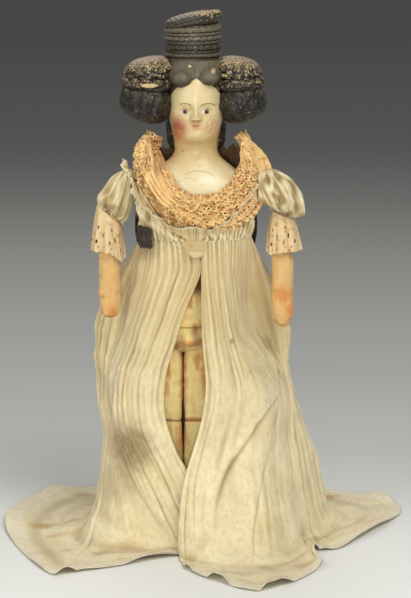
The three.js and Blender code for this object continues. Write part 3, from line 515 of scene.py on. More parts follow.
def touch(name, middle=chin, side=1, within=front_only):
    """One touch of the brush, mirrored for her right side. It returns where it lies."""
    (across, up), radii, soft, strength, colour = touches[name]
    spot = flesh.times(flesh.spot((middle[0] + side * across, middle[1] + up), radii, soft), within)
    flesh.lay(spot, colour, strength)
    return spot


def thin_arc(name, middle=chin):
    (across, up), *shape = arcs[name]
    return flesh.arc((middle[0] + across, middle[1] + up), *shape)


flesh.ground(flesh.noise(9, 4), (221, 202, 156), (208, 186, 134))
flesh.lay(flesh.step(flesh.z, 326, 312), (226, 211, 172), 0.8)
ageing = flesh.add(flesh.noise(16, 3, shift=2), flesh.times(flesh.step(flesh.z, 345, 325), 0.1))
flesh.lay(flesh.step(ageing, 0.56, 0.82), (214, 178, 112), 0.7)
# Painted shade over the chin and neck, then a painted shadow under the jaw, outside an oval round the face
lower_face_shade = flesh.times(flesh.step(flesh.z, 364, 350), flesh.step(flesh.z, 318, 332))
flesh.lay(lower_face_shade, (190, 162, 104), 0.4)
off_the_face = flesh.take(1, flesh.spot((body_x, chin_z + jaw_up), (jaw_half, jaw_half), 0.06))
under_jaw_shadow = flesh.times(off_the_face, flesh.step(flesh.z, 358, 351), flesh.step(flesh.z, 320, 340))
flesh.lay(under_jaw_shadow, (186, 152, 92), 0.62)
touch("right_blush", within=flesh.times(front_only, flesh.patches(0.1, 0.5, 5, 3, shift=5)))
touch("left_blush", within=flesh.times(front_only, flesh.patches(0.3, 0.62, 3.4, 3, shift=5)))
# Painted shade at the inner corner of her right eye, beside the nose
touch("inner_eye_shade")
for name, side in (("right", -1), ("left", 1)):
    eye = (body_x + side * eye_spacing, chin_z + eye_up)
    touch("lid_shade", eye)
    white = touch("white", eye)
    touch("iris", eye, within=white)
    touch("glint", eye)
    flesh.lay(flesh.times(thin_arc("upper_lid", eye), front_only), (112, 86, 48), 0.75)
    touch("lower_lid", eye)
    flesh.lay(flesh.times(thin_arc(name + "_brow"), front_only), (104, 82, 48), 0.8)
touch("nose_shade")
# Painted shade beside the nose, with the painted nostrils and upper lip
for side in (-1, 1):
    for name in ("nostril", "nose_side_shade", "upper_lip"):
        touch(name, side=side)
for name in ("lower_lip", "parting", "neck_spot"):
    touch(name)
cracks = flesh.most(thin_arc("old_crack"), thin_arc("second_crack"))
cracks = flesh.times(cracks, flesh.patches(0.35, 0.5, 4, 2, shift=9))
flesh.lay(flesh.times(cracks, front_only), (150, 120, 80), 0.55)
craze = flesh.times(flesh.step(flesh.cells(3.4), 0.035, 0), flesh.patches(0.5, 0.66, 12, 2, shift=4))
flesh.lay(craze, (140, 110, 70), 0.3)
flesh.lay(flesh.step(flesh.cells(6, "F1"), 0.075, 0.045), (96, 66, 36), 0.4)

# The painted hair begins at a line that falls to a peak over the nose
hair_z, hair_slope, peak_half, peak_slope = 374, -0.95, 5, 0.7
peak = flesh.math("MINIMUM", flesh.size(flesh.take(flesh.x, body_x + 0.3)), peak_half)
hair_line = flesh.add(flesh.times(flesh.y, hair_slope), hair_z)
hair_line = flesh.take(hair_line, flesh.times(peak, peak_slope))
combed = flesh.take(flesh.add(flesh.z, flesh.times(flesh.noise(6, 2), 2)), hair_line)
combed = flesh.step(combed, 0.2, 1.2)
strands = flesh.noise(1.1, 2, stretch=(1, 1, 14))
hair_black = flesh.mottle(strands, (40, 37, 31), (78, 73, 60))
hair_black = flesh.blend(flesh.patches(0.6, 0.7, 5, 4, shift=7), hair_black, srgb(150, 128, 84))
flesh.tone = flesh.blend(combed, flesh.tone, hair_black)
flesh.show()
flesh.set("Roughness", flesh.add(flesh.times(flesh.noise(4, 3, shift=3), 0.18), 0.25))
flesh.relief(
    (flesh.noise(7, 3), 0.35),
    (flesh.times(flesh.most(cracks, craze), -1), 0.12),
    (flesh.times(strands, combed), 0.35),
)

bust_heights = np.concatenate([
    np.linspace(plate_rim, neck_top, 90), np.linspace(chin_z - 5.6, chin_z + head_height * 0.998, 190),
])
front_turns = np.linspace(-1, 1, 221) * 2.2
# Half of the turns' sine taken away crowds them to the face
front_turns = front_turns - 0.5 * np.sin(front_turns)
front_turns = front_turns * (seam_turn - seam_gap / plate_front) / front_turns[-1]
back_turns = np.linspace(seam_turn, TURN - seam_turn, 110)
for half, turns in (("front", front_turns), ("back", back_turns)):
    points = bust_points(turns, bust_heights)
    bust = add_mesh("bust_" + half, points, grid_faces(*points.shape[:2], False))
    dress(bust, flesh, "body_and_gown", f"head_{half}_half")

# The side curls
# Each bunch is moulded papier-mache glued over the ear: a ribbed bell of ringlets that tips to the
# cheek, under two flat puffs. The black paint has rubbed off the ridges down to the tan ground.
sides = (("right", -1), ("left", 1))
crown_z = chin_z + head_height
curls_depth = 28
curls_height = 56
curls_low = crown_z + 3 - curls_height
curls_reach = {"right": 62, "left": 57}
curls_skin = 0.55
ribs_around = 26
rib_depth_shares = (0.045, 0.035, 0.03)
# Shares out, up, half width, half depth and half height, then the tip in degrees
curl_tiers = [
    (0.67, 0.33, 0.37, 0.96, 0.33, 18),
    (0.65, 0.6, 0.36, 0.93, 0.15, 3),
    (0.62, 0.79, 0.35, 0.88, 0.21, -9),
]
# A tier's outline from foot to top: share of the half height, share of the half sizes
tier_outline = [
    (-1, 0.02), (-0.97, 0.25), (-0.82, 0.64), (-0.42, 0.93), (0.1, 1),
    (0.6, 0.86), (0.92, 0.5), (0.99, 0.2), (1, 0.02),
]
# Height, then how rubbed the paint is there and how far it is lightened toward olive, as shares
curl_wear = [(360, 0.1), (386, 0.15), (394, 0.7), (402, 0.75), (410, 1)]
curl_dullness_and_sheen = [(370, 0), (395, 0.2), (410, 0.5)]
# The large old chips: across, up, and half sizes
large_chips = [
    (-46.5, 390.6, 8.5, 1.9), (-13, 406.4, 1.7, 1.2), (6.6, 402.8, 2.2, 1.8),
    (15.8, 398.4, 3.2, 1.5), (5.6, 447.5, 1.6, 1.5),
]


def ripple(places, size, seed, waves=7):
    """Soft random relief between about -1 and 1, the same wherever the places are the same."""
    chance = np.random.default_rng(seed)
    total = np.zeros(places[0].shape)
    for _ in range(waves):
        along = chance.normal(size=len(places))
        along *= chance.uniform(0.6, 1.7) / np.linalg.norm(along)
        phase = chance.uniform(0, 2 * math.pi)
        total += np.sin(sum(a * p for a, p in zip(along, places)) * 2 * math.pi / size + phase)
    return total / math.sqrt(waves)


def meander(places, size, seed):
    """Relief like curly threads: narrow ridges that wander, from -1 to 1."""
    return np.clip(1 - 2.2 * np.abs(ripple(places, size, seed)), -1, 1)


def read_evenly(rows, where):
    """Every column of a table whose rows are spread evenly from 0 to 1."""
    keys = np.linspace(0, 1, len(rows))
    return [read_curve(list(zip(keys, column)), where) for column in zip(*rows)]


def closed_lump(points):
    """Faces for a tube of rings, with its ends closed."""
    rows, columns = points.shape[:2]
    faces = grid_faces(rows, columns, True).tolist()
    faces.append(list(range(columns))[::-1])
    faces.append([(rows - 1) * columns + k for k in range(columns)])
    return faces


def join_lumps(name, lumps):
    """One piece of several closed lumps, left as they are."""
    faces, start = [], 0
    for lump in lumps:
        faces += [[start + corner for corner in face] for face in closed_lump(lump)]
        start += lump.shape[0] * lump.shape[1]
    return add_mesh(name, np.concatenate([lump.reshape(-1, 3) for lump in lumps]), faces)


def apply_modifiers(piece):
    bpy.context.view_layer.update()
    graph = bpy.context.evaluated_depsgraph_get()
    made = bpy.data.meshes.new_from_object(piece.evaluated_get(graph))
    old = piece.data
    piece.modifiers.clear()
    piece.data = made
    bpy.data.meshes.remove(old)
    piece.data.shade_smooth()


def one_skin(name, lumps, voxel, smoothing=2):
    """One closed skin over lumps that run into one another."""
    piece = join_lumps(name, lumps)
    skin = piece.modifiers.new("skin", "REMESH")
    skin.mode = "VOXEL"
    skin.voxel_size = voxel * MM
    soften = piece.modifiers.new("soften", "SMOOTH")
    soften.factor = 0.5
    soften.iterations = smoothing
    apply_modifiers(piece)
    return piece


def vectors_of(piece, what):
    values = np.empty(len(piece.data.vertices) * 3)
    piece.data.vertices.foreach_get(what, values)
    return values.reshape(-1, 3)


def points_of(piece):
    return vectors_of(piece, "co") / MM


def move_points(piece, places):
    piece.data.vertices.foreach_set("co", (places * MM).ravel())
    piece.data.update()


def note_ridges(piece, rounds=3, gain=6.0):
    """Stores how far each point stands out from those round it, as ridge: 0.5 is flat."""
    places = points_of(piece)
    edges = np.empty(len(piece.data.edges) * 2, dtype=int)
    piece.data.edges.foreach_get("vertices", edges)
    a, b = edges.reshape(-1, 2).T
    counts = np.bincount(np.concatenate([a, b]), minlength=len(places))[:, None]
    smooth = places.copy()
    for _ in range(rounds):
        total = np.zeros_like(smooth)
        np.add.at(total, a, smooth[b])
        np.add.at(total, b, smooth[a])
        smooth = total / np.maximum(counts, 1)
    out = np.sum((places - smooth) * vectors_of(piece, "normal"), axis=1)
    give_numbers(piece, "ridge", np.clip(0.5 + out * gain, 0, 1))


def finish_hair(piece, wear, dullness_and_sheen, node=None):
    """Stores where the paint is rubbed and where it is lightened to olive, by dulled paint and by painted
    sheen, then dresses the piece.
    """
    note_ridges(piece)
    give_numbers(piece, "wear", np.clip(wear, 0, 1))
    give_numbers(piece, "tone", np.clip(dullness_and_sheen, 0, 1))
    dress(piece, black, "body_and_gown", node)


def tipped(across, other, degrees):
    """Two directions turned by an angle."""
    angle = math.radians(degrees)
    cosine, sine = math.cos(angle), math.sin(angle)
    return across * cosine - other * sine, other * cosine + across * sine


def tier_points(side, reach, tier, depth):
    out, up, wide, deep, tall, tip = tier
    turn, row = rings(208, 0, 1, 48)
    along, size = read_evenly(tier_outline, row)
    seed = int(100 * up)
    sway = 0.25 * ripple([along * 1.5, np.sin(turn), np.cos(turn)], 1.9, seed)
    rib = 1 + depth * (np.abs(np.cos(turn * ribs_around / 4 + along * 0.6 + sway)) ** 0.7 - 0.7)
    rib += 0.03 * ripple([2 * np.sin(turn), 2 * np.cos(turn), along * 2], 1.1, seed + side)
    rib += 0.012 * ripple([5 * np.sin(turn), 5 * np.cos(turn), along * 5], 1, seed + 7 + side)
    x = reach * wide * size * rib * np.sin(turn)
    y = -curls_depth * deep * size * rib * np.cos(turn)
    x, z = tipped(x, curls_height * tall * along, tip * side)
    return np.stack([body_x + side * reach * out + x, y, curls_low + curls_height * up + z], axis=-1)


black = Finish("black_hair_paint")
black.set("Specular IOR Level", 0.32)
ridge, wear, dullness_and_sheen = (black.number(name) for name in ("ridge", "wear", "tone"))
upward = black.parts_of(black.tree.nodes.new("ShaderNodeNewGeometry").outputs["Normal"])[2]
top_worn = black.ragged(upward, 0.9, 0.75, 1.15, 6, 3, shift=3)
ridge_worn = black.ragged(ridge, 0.8, 1, 1.12, 9, 3, shift=5)
chips = black.step(black.add(black.noise(1.5, 3, shift=6), black.times(wear, 0.17)), 0.66, 0.7)
worn = black.times(black.most(ridge_worn, black.times(top_worn, wear)), chips)
front = black.step(black.y, -14, -18)
for across, up, wide, tall in large_chips:
    torn = black.ragged(black.spot((across, up), (wide, tall)), 0.9, 1.1, 1.3, 2, 3, shift=9)
    worn = black.most(worn, black.times(torn, front))
black.ground(black.noise(3.5, 3), (24, 21, 17), (46, 41, 33))
# The olive lightening stands for dulled paint and, on the brow rolls and upper parts, painted sheen
olive_paint = black.mottle(black.noise(5, 3, shift=2), (114, 105, 84), (82, 75, 60))
black.tone = black.blend(dullness_and_sheen, black.tone, olive_paint)
# Painted highlight: faces turned upward are lightened toward olive
black.lay(black.step(upward, 0.35, 0.95), (112, 102, 80), 0.6)
# Painted shade: the deepest grooves between the curls are near black
black.lay(black.step(ridge, 0.45, 0.2), (14, 12, 10))
tan_ground = black.mottle(black.noise(2.5, 2, shift=8), (160, 122, 76), (226, 204, 156))
black.tone = black.blend(worn, black.tone, tan_ground)
black.show()
uneven_gloss = black.add(0.3, black.times(black.noise(3, 3), 0.2))
black.set("Roughness", black.add(black.times(worn, 0.3), uneven_gloss))
black.relief((black.noise(2.6, 4), 0.5), (black.times(worn, -1), 0.15))

for name, side in sides:
    lumps = [tier_points(side, curls_reach[name], *pair) for pair in zip(curl_tiers, rib_depth_shares)]
    curls = one_skin(name + "_curls", lumps, curls_skin)
    high = points_of(curls)[:, 2]
    finish_hair(curls, read_curve(curl_wear, high), read_curve(curl_dullness_and_sheen, high), name + "_side_curls")

# The brow rolls
# Two short rolls of hair over the forehead, moulded with the skull cap and glossed.
roll_spacing = 22
roll_height = 396.4
roll_y = -14
roll_half = (9.6, 15, 8)
roll_swing = 12
roll_skin = 0.5
# How far each roll is lifted and slid to her left
roll_shifts = {"right": (-0.4, 1), "left": (1.2, -1.4)}

for name, side in sides:
    turn, rise = rings(72, -1.57, 1.57, 40)
    round_end = np.cos(rise) ** 0.55 * (1 + 0.02 * np.cos(turn * 4 + rise * 1.5))
    z = roll_half[2] * round_end * np.sin(turn)
    x, y = tipped(roll_half[0] * round_end * np.cos(turn), -roll_half[1] * np.sin(rise), roll_swing * side)
    lift, slide = roll_shifts[name]
    middle_x = body_x + slide + side * roll_spacing / 2
    points = np.stack([middle_x + x, roll_y + y, roll_height + lift + z - 0.1 * np.abs(x)], axis=-1)
    roll = one_skin(name + "_brow_curl", [points[:, ::-1]], roll_skin)
    high = points_of(roll)[:, 2]
    # The paint is lightened toward olive up each roll: painted highlight on its upper half
    finish_hair(roll, 0 * high, np.clip((high - 390) / 8, 0.15, 1), name + "_brow_roll")

# The topknot
# Thin plaits are coiled round a plug on the crown. The last turn climbs slantwise over the top.
knot_x = body_x - 2.5
knot_y = 2
knot_radius = 24.4
knot_top = crown_z + 43.4
knot_skin = 0.5
coil_deep = 6.5
# Each coil: height over the crown, its thickness, how deep the twists are, and how many
coils = [(5.4, 5, 0.16, 34), (11.7, 6.8, 0.34, 26), (19.4, 6.2, 0.3, 24), (26.7, 7.6, 0.2, 24)]
# The plug and the cap: height over the crown and radius, foot to top
plug_outline = [(-3, 21), (8, 22.9), (24, 23), (30, 22.4)]
cap_outline = [(28, 21), (30.5, 23.6), (33, 24.3), (35.5, 23.8), (37.6, 21.6), (39, 17), (39.9, 9), (40.2, 1)]
cap_tilt, cap_lean = 0.19, 0.07
# Height, and how far the paint is lightened toward olive there
knot_dullness_and_sheen = [
    (405, 0.5), (416, 0.6), (420, 0.2), (424, 0.15), (427, 0.9),
    (437, 1), (440, 0.35), (449, 0.25), (452, 0.9),
]


def coil(height, tall, dent, twists, lean, tilt):
    """A closed twisted coil of hair round an upright axis."""
    around, turn = rings(24, 0, TURN, 361)
    sway = 0.5 * np.sin(turn * 3 + height) + 0.3 * np.sin(turn * 5 + 2 * height)
    swell = 1 - dent * (1 - np.abs(np.sin((turn * twists + sway) / 2 + lean * around))) ** 1.6
    near = knot_radius - coil_deep + coil_deep * np.cos(around) * (1 - 0.3 * (1 - swell))
    level = height + tall / 2 * np.sin(around) * swell + tilt * np.sin(turn)
    return np.stack([near * np.sin(turn), -near * np.cos(turn), level], axis=-1)


def round_core(outline, tilt=0.0, lean=0.0):
    """A turned lump from (height over the crown, radius) pairs, tipped sideways and back."""
    turn = np.linspace(0, TURN, 120, endpoint=False)
    made = []
    for up, radius in outline:
        x, y = radius * np.sin(turn), -radius * np.cos(turn)
        made.append(np.stack([x, y, crown_z + up + tilt * x - lean * y], axis=-1))
    return np.array(made)


lumps = [round_core(plug_outline)]
for level, (up, tall, dent, twists) in enumerate(coils):
    lumps.append(coil(crown_z + up, tall, dent, twists, 0.5 if level % 2 else -0.5, 0.25 * level))
lumps.append(round_core(cap_outline, cap_tilt, cap_lean))
lumps = [lump + np.array([knot_x, knot_y, 0]) for lump in lumps]
knot = one_skin("topknot_plaits", lumps, knot_skin, 1)
places = points_of(knot)
x, y, z = places.T.copy()
cap_part = np.clip((z - crown_z - 31 - 0.15 * (x - knot_x)) / 2, 0, 1)
slant = z - 0.24 * (x - knot_x) + 0.05 * y
plait_line = np.abs(np.sin(slant * math.pi / 5.4)) ** 0.6 - 0.6
twist_line = np.abs(np.sin(x * math.pi / 4.4 + slant * 0.7)) ** 0.7 - 0.6
places += vectors_of(knot, "normal") * ((0.75 * plait_line + 0.35 * twist_line) * cap_part)[:, None]
places[:, 2] = np.minimum(places[:, 2], knot_top)
move_points(knot, places)
high = places[:, 2]
top_rubbed = cap_part * ramp(high, crown_z + 37, 3)
finish_hair(knot, 0.2 + 0.8 * top_rubbed, read_curve(knot_dullness_and_sheen, high), "plaited_topknot")

# The crown and nape hair
# Both are modelled on the head halves under the same black paint. The crown is combed up smooth
# to the knot. The nape hair hangs in a close roll behind the neck.
nape_y = 13
hair_skin = 0.6
# Height, half width and half depth
mound_rows = [
    (390, 21, 22), (394, 25.5, 24), (399, 27.5, 25), (403, 26.5, 24.2), (407, 24.4, 23), (410.5, 23, 22),
]
nape_rows = [
    (331, 15, 5), (334, 21, 9), (340, 24.5, 12), (347, 25, 13.5),
    (355, 25, 15), (363, 26, 17), (372, 24, 16), (378, 18, 12),
]

turn, z = rings(180, mound_rows[0][0], mound_rows[-1][0], 30)
half, deep = read_columns(mound_rows, z, (1, 2))
combed = 0.12 * ripple([turn * 14, z / 6], 3, 18)
points = oval(turn, z, (half + combed, deep + combed, deep + combed), y=knot_y - 1)
crown_hair = one_skin("crown_hair", [points], hair_skin)

turn, z = rings(160, nape_rows[0][0], nape_rows[-1][0], 50)
half, deep = read_columns(nape_rows, z, (1, 2))
lock = 0.7 * (np.abs(np.sin(turn * 15 + z / 18)) ** 0.7 - 0.6) + 0.3 * ripple([turn * 6, z / 7], 3, 19)
points = oval(turn, z, (half + lock, deep + lock, deep + lock), y=nape_y)
nape_hair = one_skin("nape_hair", [points], hair_skin)
finish_hair(crown_hair, 0.1, 0.9)
finish_hair(nape_hair, 0.35, 0.1)

peg_wood = Finish("peg_wood", 0.8)
grain = peg_wood.noise(1.4, 3, stretch=(1, 1, 9))
peg_wood.ground(grain, (150, 108, 62), (196, 156, 102))
peg_wood.show()
peg_wood.relief((grain, 0.15))
peg_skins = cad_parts["topknot_peg"].data.materials
peg_skins.clear()
peg_skins.append(peg_wood.material)

# The stuffed body
# Unbleached muslin sewn into a bag and stuffed hard, glued up inside the shoulder plate. It has
# aged to a warm buff, with rust and water stains.
hip_x = -19
hip_z = 158
waist_z = 256
shoulder_z = 281.6
leg_offset = 17.7
leg_radius = 17.5
leg_y = -8
socket_gap = 1.2
belly_seam_z = 187
# Height, half width, front depth and back depth
torso_rows = [
    (163.7, 30, 17, 20), (165, 34.4, 21, 24), (171.1, 38.4, 26.7, 28.2), (182.6, 40, 30.1, 30),
    (200.6, 40, 31, 30), (250, 39, 28, 28), (263, 39, 28, 28), (281.6, 45.8, 26.8, 23.8),
    (299.9, 45.4, 26.5, 23.6), (307.8, 41.3, 24.7, 22.3), (314.8, 33.6, 21.1, 19.6),
    (321.8, 23.7, 16.4, 16.2),
]
# The stuffed swellings low in front: across, up, the half sizes and how far each stands out
swellings = [(-37, 177, 13, 13, 4), (6, 177, 12, 13, 4), (-14.2, 175.6, 8.6, 8.4, 13)]
# The worst soiled places: across, up and the half sizes
soiled_places = [(-9, 184, 4, 5), (-28, 172, 6, 5)]
# Rust marks on the body and legs: the middle, across and up, then the half sizes
rust_marks = [
    ((-8.6, 187), (2.4, 3.4)), ((-24, 170.5), (2.6, 4.5)), ((-32.5, 134), (2.6, 7)),
    ((-6.4, 158), (3.4, 8)), ((-20.4, 150), (1.6, 5)), ((-12, 107.5), (7, 1.6)),
    ((-19, 140), (3.4, 36)), ((-10, 175), (16, 3.5)), ((-1, 150), (3.4, 26)),
    ((-33, 150), (3.4, 10)), ((-2, 190), (4, 6)), ((-20, 92), (6, 16)), ((-13, 210), (2.5, 7)),
    ((67, 213), (9, 7)), ((74, 200), (7, 9)), ((-79, 199), (4, 7)), ((-86, 212), (2, 2)),
]
knee_z = 106.6

stuffed = Finish("stuffed_muslin", 0.9, sheen=0.15)
stuffed.ground(stuffed.noise(14, 4), (226, 188, 126), (204, 158, 94))
# The body and legs take a paler copy of the same muslin: partly painted light, brightening them where they
# sit in the gown's opening
pale = stuffed.mottle(stuffed.noise(12, 4), (255, 238, 168), (252, 216, 132))
stuffed.tone = stuffed.blend(stuffed.number("pale"), stuffed.tone, pale)
stuffed.lay(stuffed.patches(0.5, 0.76, 9, 4, stretch=(0.6, 0.6, 3), shift=4), (224, 164, 94), 0.6)
rust = stuffed.patches(0.64, 0.78, 7, 3, stretch=(1, 1, 1.8), shift=7)
for place, radii in rust_marks:
    mark = stuffed.ragged(stuffed.spot(place, radii, 0.9), 1.6, 0.9, 1.9, 4, 4, stretch=(1, 1, 2))
    rust = stuffed.most(rust, stuffed.times(mark, 0.9))
stuffed.lay(rust, (206, 120, 38), 0.8)
knee_line = stuffed.step(stuffed.size(stuffed.take(stuffed.z, knee_z)), 3, 0)
stuffed.lay(stuffed.times(knee_line, stuffed.patches(0.35, 0.6, 5, 3)), (196, 122, 62), 0.6)
seam_ink = stuffed.number("seam")
stuffed.lay(seam_ink, (158, 92, 42), 0.8)
# Painted shade at the top of the slit, and the soiled stains
stuffed.lay(stuffed.number("soil_and_shade"), (122, 68, 26))
stuffed.show()
wrinkles = (stuffed.noise(6, 3, stretch=(1, 1, 2)), 0.5)
stuffed.relief(wrinkles, stuffed.weave(0.6, 0.06), (stuffed.times(seam_ink, -1), 0.5))

heights = np.concatenate([[torso_rows[0][0]], np.linspace(163.8, torso_rows[-1][0], 170)])
turn, z = np.meshgrid(np.linspace(0, TURN, 260, endpoint=False), heights)
middle = hip_x + (body_x - hip_x) * ramp(z, hip_z, 92)
x, y, _ = np.moveaxis(oval(turn, z, read_columns(torso_rows, z, (1, 2, 3)), middle), -1, 0)
fore = np.clip(np.cos(turn), 0, 1) ** 0.5
for lobe_x, lobe_z, wide, tall, out in swellings:
    y = y - out * hill(x, z, lobe_x, lobe_z, wide, tall) * fore
creases = band(z, 187 + 0.08 * (x + 15), 1) + band(z, 203 - 0.06 * (x + 10), 1)
y = y + 0.8 * creases * fore
upright_seam = 0.7 * band(x, -21 + 0.06 * (z - 200), 0.4) * (z > belly_seam_z)
seam = band(z, belly_seam_z, 0.5) + upright_seam
wrinkle = 0.45 * ripple([x / 3, z], 11, 21) + 0.3 * ripple([x, z / 2.4], 7, 22)
wrinkle = wrinkle * ramp(z, 168, 10) * (1 - ramp(z, 230, 20))
x = x + wrinkle * np.sin(turn)
y = y - wrinkle * np.cos(turn)
points = np.stack([x, y, z], axis=-1)
# The top of each leg sits in a hollow of the bag
for side in (-1, 1):
    socket = np.array([hip_x + side * leg_offset, leg_y, hip_z])
    away = points - socket
    far = np.linalg.norm(away, axis=-1, keepdims=True)
    points = np.where(far < leg_radius + socket_gap, socket + away / far * (leg_radius + socket_gap), points)
body = add_mesh("stuffed_body", points, closed_lump(points))
# Painted shade in a band at the top of the gown's slit, and stains at the soiled places
soil_and_shade = ramp(z, 212, 8) * (1 - ramp(z, 238, 8))
for place in soiled_places:
    soil_and_shade = soil_and_shade + 0.5 * hill(x, z, *place)
give_numbers(body, "seam", np.clip(seam, 0, 1))
give_numbers(body, "pale", 1)
give_numbers(body, "soil_and_shade", np.clip(soil_and_shade, 0, 1) * (np.cos(turn) > 0))
dress(body, stuffed, "body_and_gown", "torso")

# The arms
# Loose stuffed tubes with no hands, whip-stitched shut at the lower end and sewn to the body by a
# soft stub at the shoulder.
arm_radius = 9.2
arm_lean = math.tan(math.radians(11))
arm_length = {"right": 88, "left": 95.5}
arm_offset = 73
arm_seam_turn = 1.9
stitch_count = 11
stitch_radius = 0.32
# Share of the arm's radius over the shoulder, and share of the full width
arm_top_shares = [(0.84, 0.3), (0.8, 0.42), (0.62, 0.64), (0.3, 0.82)]
# Share of the arm's length under the shoulder, and share of the full width
arm_low_shares = [
    (0.1, 0.84), (0.28, 0.97), (0.45, 1), (0.7, 1), (0.86, 0.96), (0.96, 0.78), (0.995, 0.5), (1, 0.3),
]

thread = Finish("sewing_thread", 0.8)
thread.ground(thread.noise(1.5, 2), (120, 84, 52), (178, 132, 88))
thread.show()
thread.relief((thread.noise(0.6, 2), 0.1))


def strand_points(path, radius, around=8):
    """A thread as rings of points round any path."""
    ahead = np.gradient(path, axis=0)
    ahead /= np.linalg.norm(ahead, axis=1, keepdims=True)
    side = np.cross(ahead, (0, 0, 1.0)) + 1e-6
    side /= np.linalg.norm(side, axis=1, keepdims=True)
    up = np.cross(side, ahead)
    turn = np.linspace(0, TURN, around, endpoint=False)[None, :, None]
    return path[:, None] + radius * (np.cos(turn) * side[:, None] + np.sin(turn) * up[:, None])


def stitch_path(side, length, drop):
    """One whip stitch over the end of the arm; drop runs from -1 to 1 across it."""
    z = shoulder_z - length * (0.985 - 0.04 * drop * drop)
    x = body_x + side * arm_offset + drop * arm_radius * 0.72
    round_end = 0.62 * arm_radius * math.sqrt(1 - drop * drop * 0.7)
    y = -(shoulder_z - z) * arm_lean - round_end - 0.5
    along = np.linspace(-1, 1, 9)
    return np.stack([x + 0.5 * along, y + 0 * along, z + 1.4 + 2 * along], axis=-1)


def turn_band(turn, middle, wide):
    """1 at one turn round a piece, falling away on both sides of it."""
    return band(np.angle(np.exp(1j * (turn - middle))), 0, wide)


for name, side in sides:
    length = arm_length[name]
    outline = [(shoulder_z + arm_radius * up, wide) for up, wide in arm_top_shares]
    outline = sorted(outline + [(shoulder_z - length * down, wide) for down, wide in arm_low_shares])
    turn, z = rings(96, outline[0][0], outline[-1][0], 150)
    down = np.clip((shoulder_z - z) / length, 0, 1)
    wrinkle = 0.35 * ripple([turn * 4, z], 8, 31 + side) + 0.25 * ripple([turn * 9, z / 2.5], 9, 35 + side)
    wrinkle = wrinkle * np.clip(down * 5, 0, 1) * np.clip((1 - down) * 12, 0, 1)
    size = arm_radius * read_curve(outline, z) + wrinkle
    x = body_x + side * arm_offset + size * np.sin(turn)
    y = -np.maximum(shoulder_z - z, 0) * arm_lean - size * np.cos(turn)
    points = np.stack([x, y, z], axis=-1)
    arm = add_mesh(name + "_stuffed_arm", points, closed_lump(points))
    give_numbers(arm, "seam", turn_band(turn, -side * arm_seam_turn, 0.05) * (down > 0.3))
    dress(arm, stuffed, name + "_arm_body", name + "_arm")
    drops = np.linspace(-1, 1, stitch_count)
    lumps = [strand_points(stitch_path(side, length, drop), stitch_radius) for drop in drops]
    dress(join_lumps(name + "_arm_stitches", lumps), thread, name + "_arm_body")

# The legs
# Stuffed tubes that meet on a stitched seam at the knee, with rounded feet. Most of them is hidden
# by the gown; the seam has left a rust mark.
knee_radius = 16.4
knee_notch = math.tan(math.radians(18))
knee_reach = 30
sole_z = 0.7
foot_half = (11.8, 20.8, 16.8)
foot_ahead = 6
foot_skin = 0.8
# Height and radius
leg_rows = {
    "thigh": [
        (106.8, 16.4), (120, 17.1), (135, 17.5), (158, 17.5),
        (166.8, 15.2), (172, 10.5), (174.6, 5), (175.2, 0.6),
    ],
    "shin": [
        (sole_z, 9.5), (3, 10.6), (10, 11), (21.8, 12.9),
        (43, 15.7), (74.8, 17.5), (95, 17), (106.4, 16.4),
    ],
}

for name, side in sides:
    centre = hip_x + side * leg_offset
    for part, rows in leg_rows.items():
        low, high = rows[0][0], rows[-1][0]
        turn, z = rings(110, low, high, 110)
        quiet = ramp(z, low, 8) * (1 - ramp(z, high - 8, 8))
        size = read_curve(rows, z) - 0.05 + quiet * (0.16 * ripple([turn * 3, z], 10, 41 + side) - 0.1)
        across, ahead = np.sin(turn), np.cos(turn)
        # The legs were pressed flat against each other and in front
        flat = ramp(z, 30, 30) * (ahead > -0.2) * np.where(across * side < 0, 0.86, 0.5)
        x = centre + size * np.sign(across) * np.abs(across) ** (1 - flat)
        y = leg_y - size * np.sign(ahead) * np.abs(ahead) ** (1 - flat) - 2.5 * flat * np.abs(ahead)
        near_knee = np.clip(1 - np.abs(z - knee_z) / knee_reach, 0, 1)
        slope = knee_notch if part == "thigh" else -knee_notch
        level = z + slope * near_knee * (y - leg_y + knee_radius)
        points = np.stack([x, y, level], axis=-1)
        leg_name = f"{name}_stuffed_{part}"
        if part == "thigh":
            leg = add_mesh(leg_name, points, closed_lump(points))
            seam = 0.7 * band(z, knee_z, 0.7) + 0.25 * turn_band(turn, 0.5, 0.03)
            give_numbers(leg, "seam", np.clip(seam, 0, 1))
        else:
            around, toe = rings(72, 0.02, 1.5, 40)
            foot_x = centre + foot_half[0] * np.cos(toe) * np.sin(around)
            foot_y = leg_y - foot_ahead - foot_half[1] * np.cos(toe) * np.cos(around)
            foot = np.stack([foot_x, foot_y, sole_z + foot_half[2] * np.sin(toe)], axis=-1)
            leg = one_skin(leg_name, [points, foot], foot_skin)
            places = points_of(leg)
            places[:, 2] = np.maximum(places[:, 2], sole_z)
            move_points(leg, places)
            give_numbers(leg, "seam", band(places[:, 2], 105.8, 0.9) * (places[:, 1] < -10))
        give_numbers(leg, "pale", 1)
        dress(leg, stuffed, f"{name}_{part}_body", f"{name}_{part}")

# The gown's bodice
# Sheer ivory muslin, drawn up on a cord at the low neck and gathered again at the high waist. A
# loose frilled heading stands over the cord.
cloth_thickness = 0.45
frill_thickness = 0.35
casing_top = 262
casing_low = 256.5
casing_tall = 5.4
gather_depth = 5
bodice_ease = 0.8
bust_ease = 2.6
waist_half = 39
waist_depth = 28
front_rise = 5
side_rise = 46
seam_allowance = 0.4
armhole_radius = 14.6
armhole_inset = 23
frill_tall = 9.5
# Degrees from the front, and how far the neckline has risen there, as a share
neckline_shares = [(0, 0), (20, 0.08), (38, 0.36), (56, 0.74), (76, 1), (104, 1), (140, 0.92), (180, 0.88)]
# First and last degrees round her
frill_turns = {"front": (-93, 66), "back": (122, 238)}
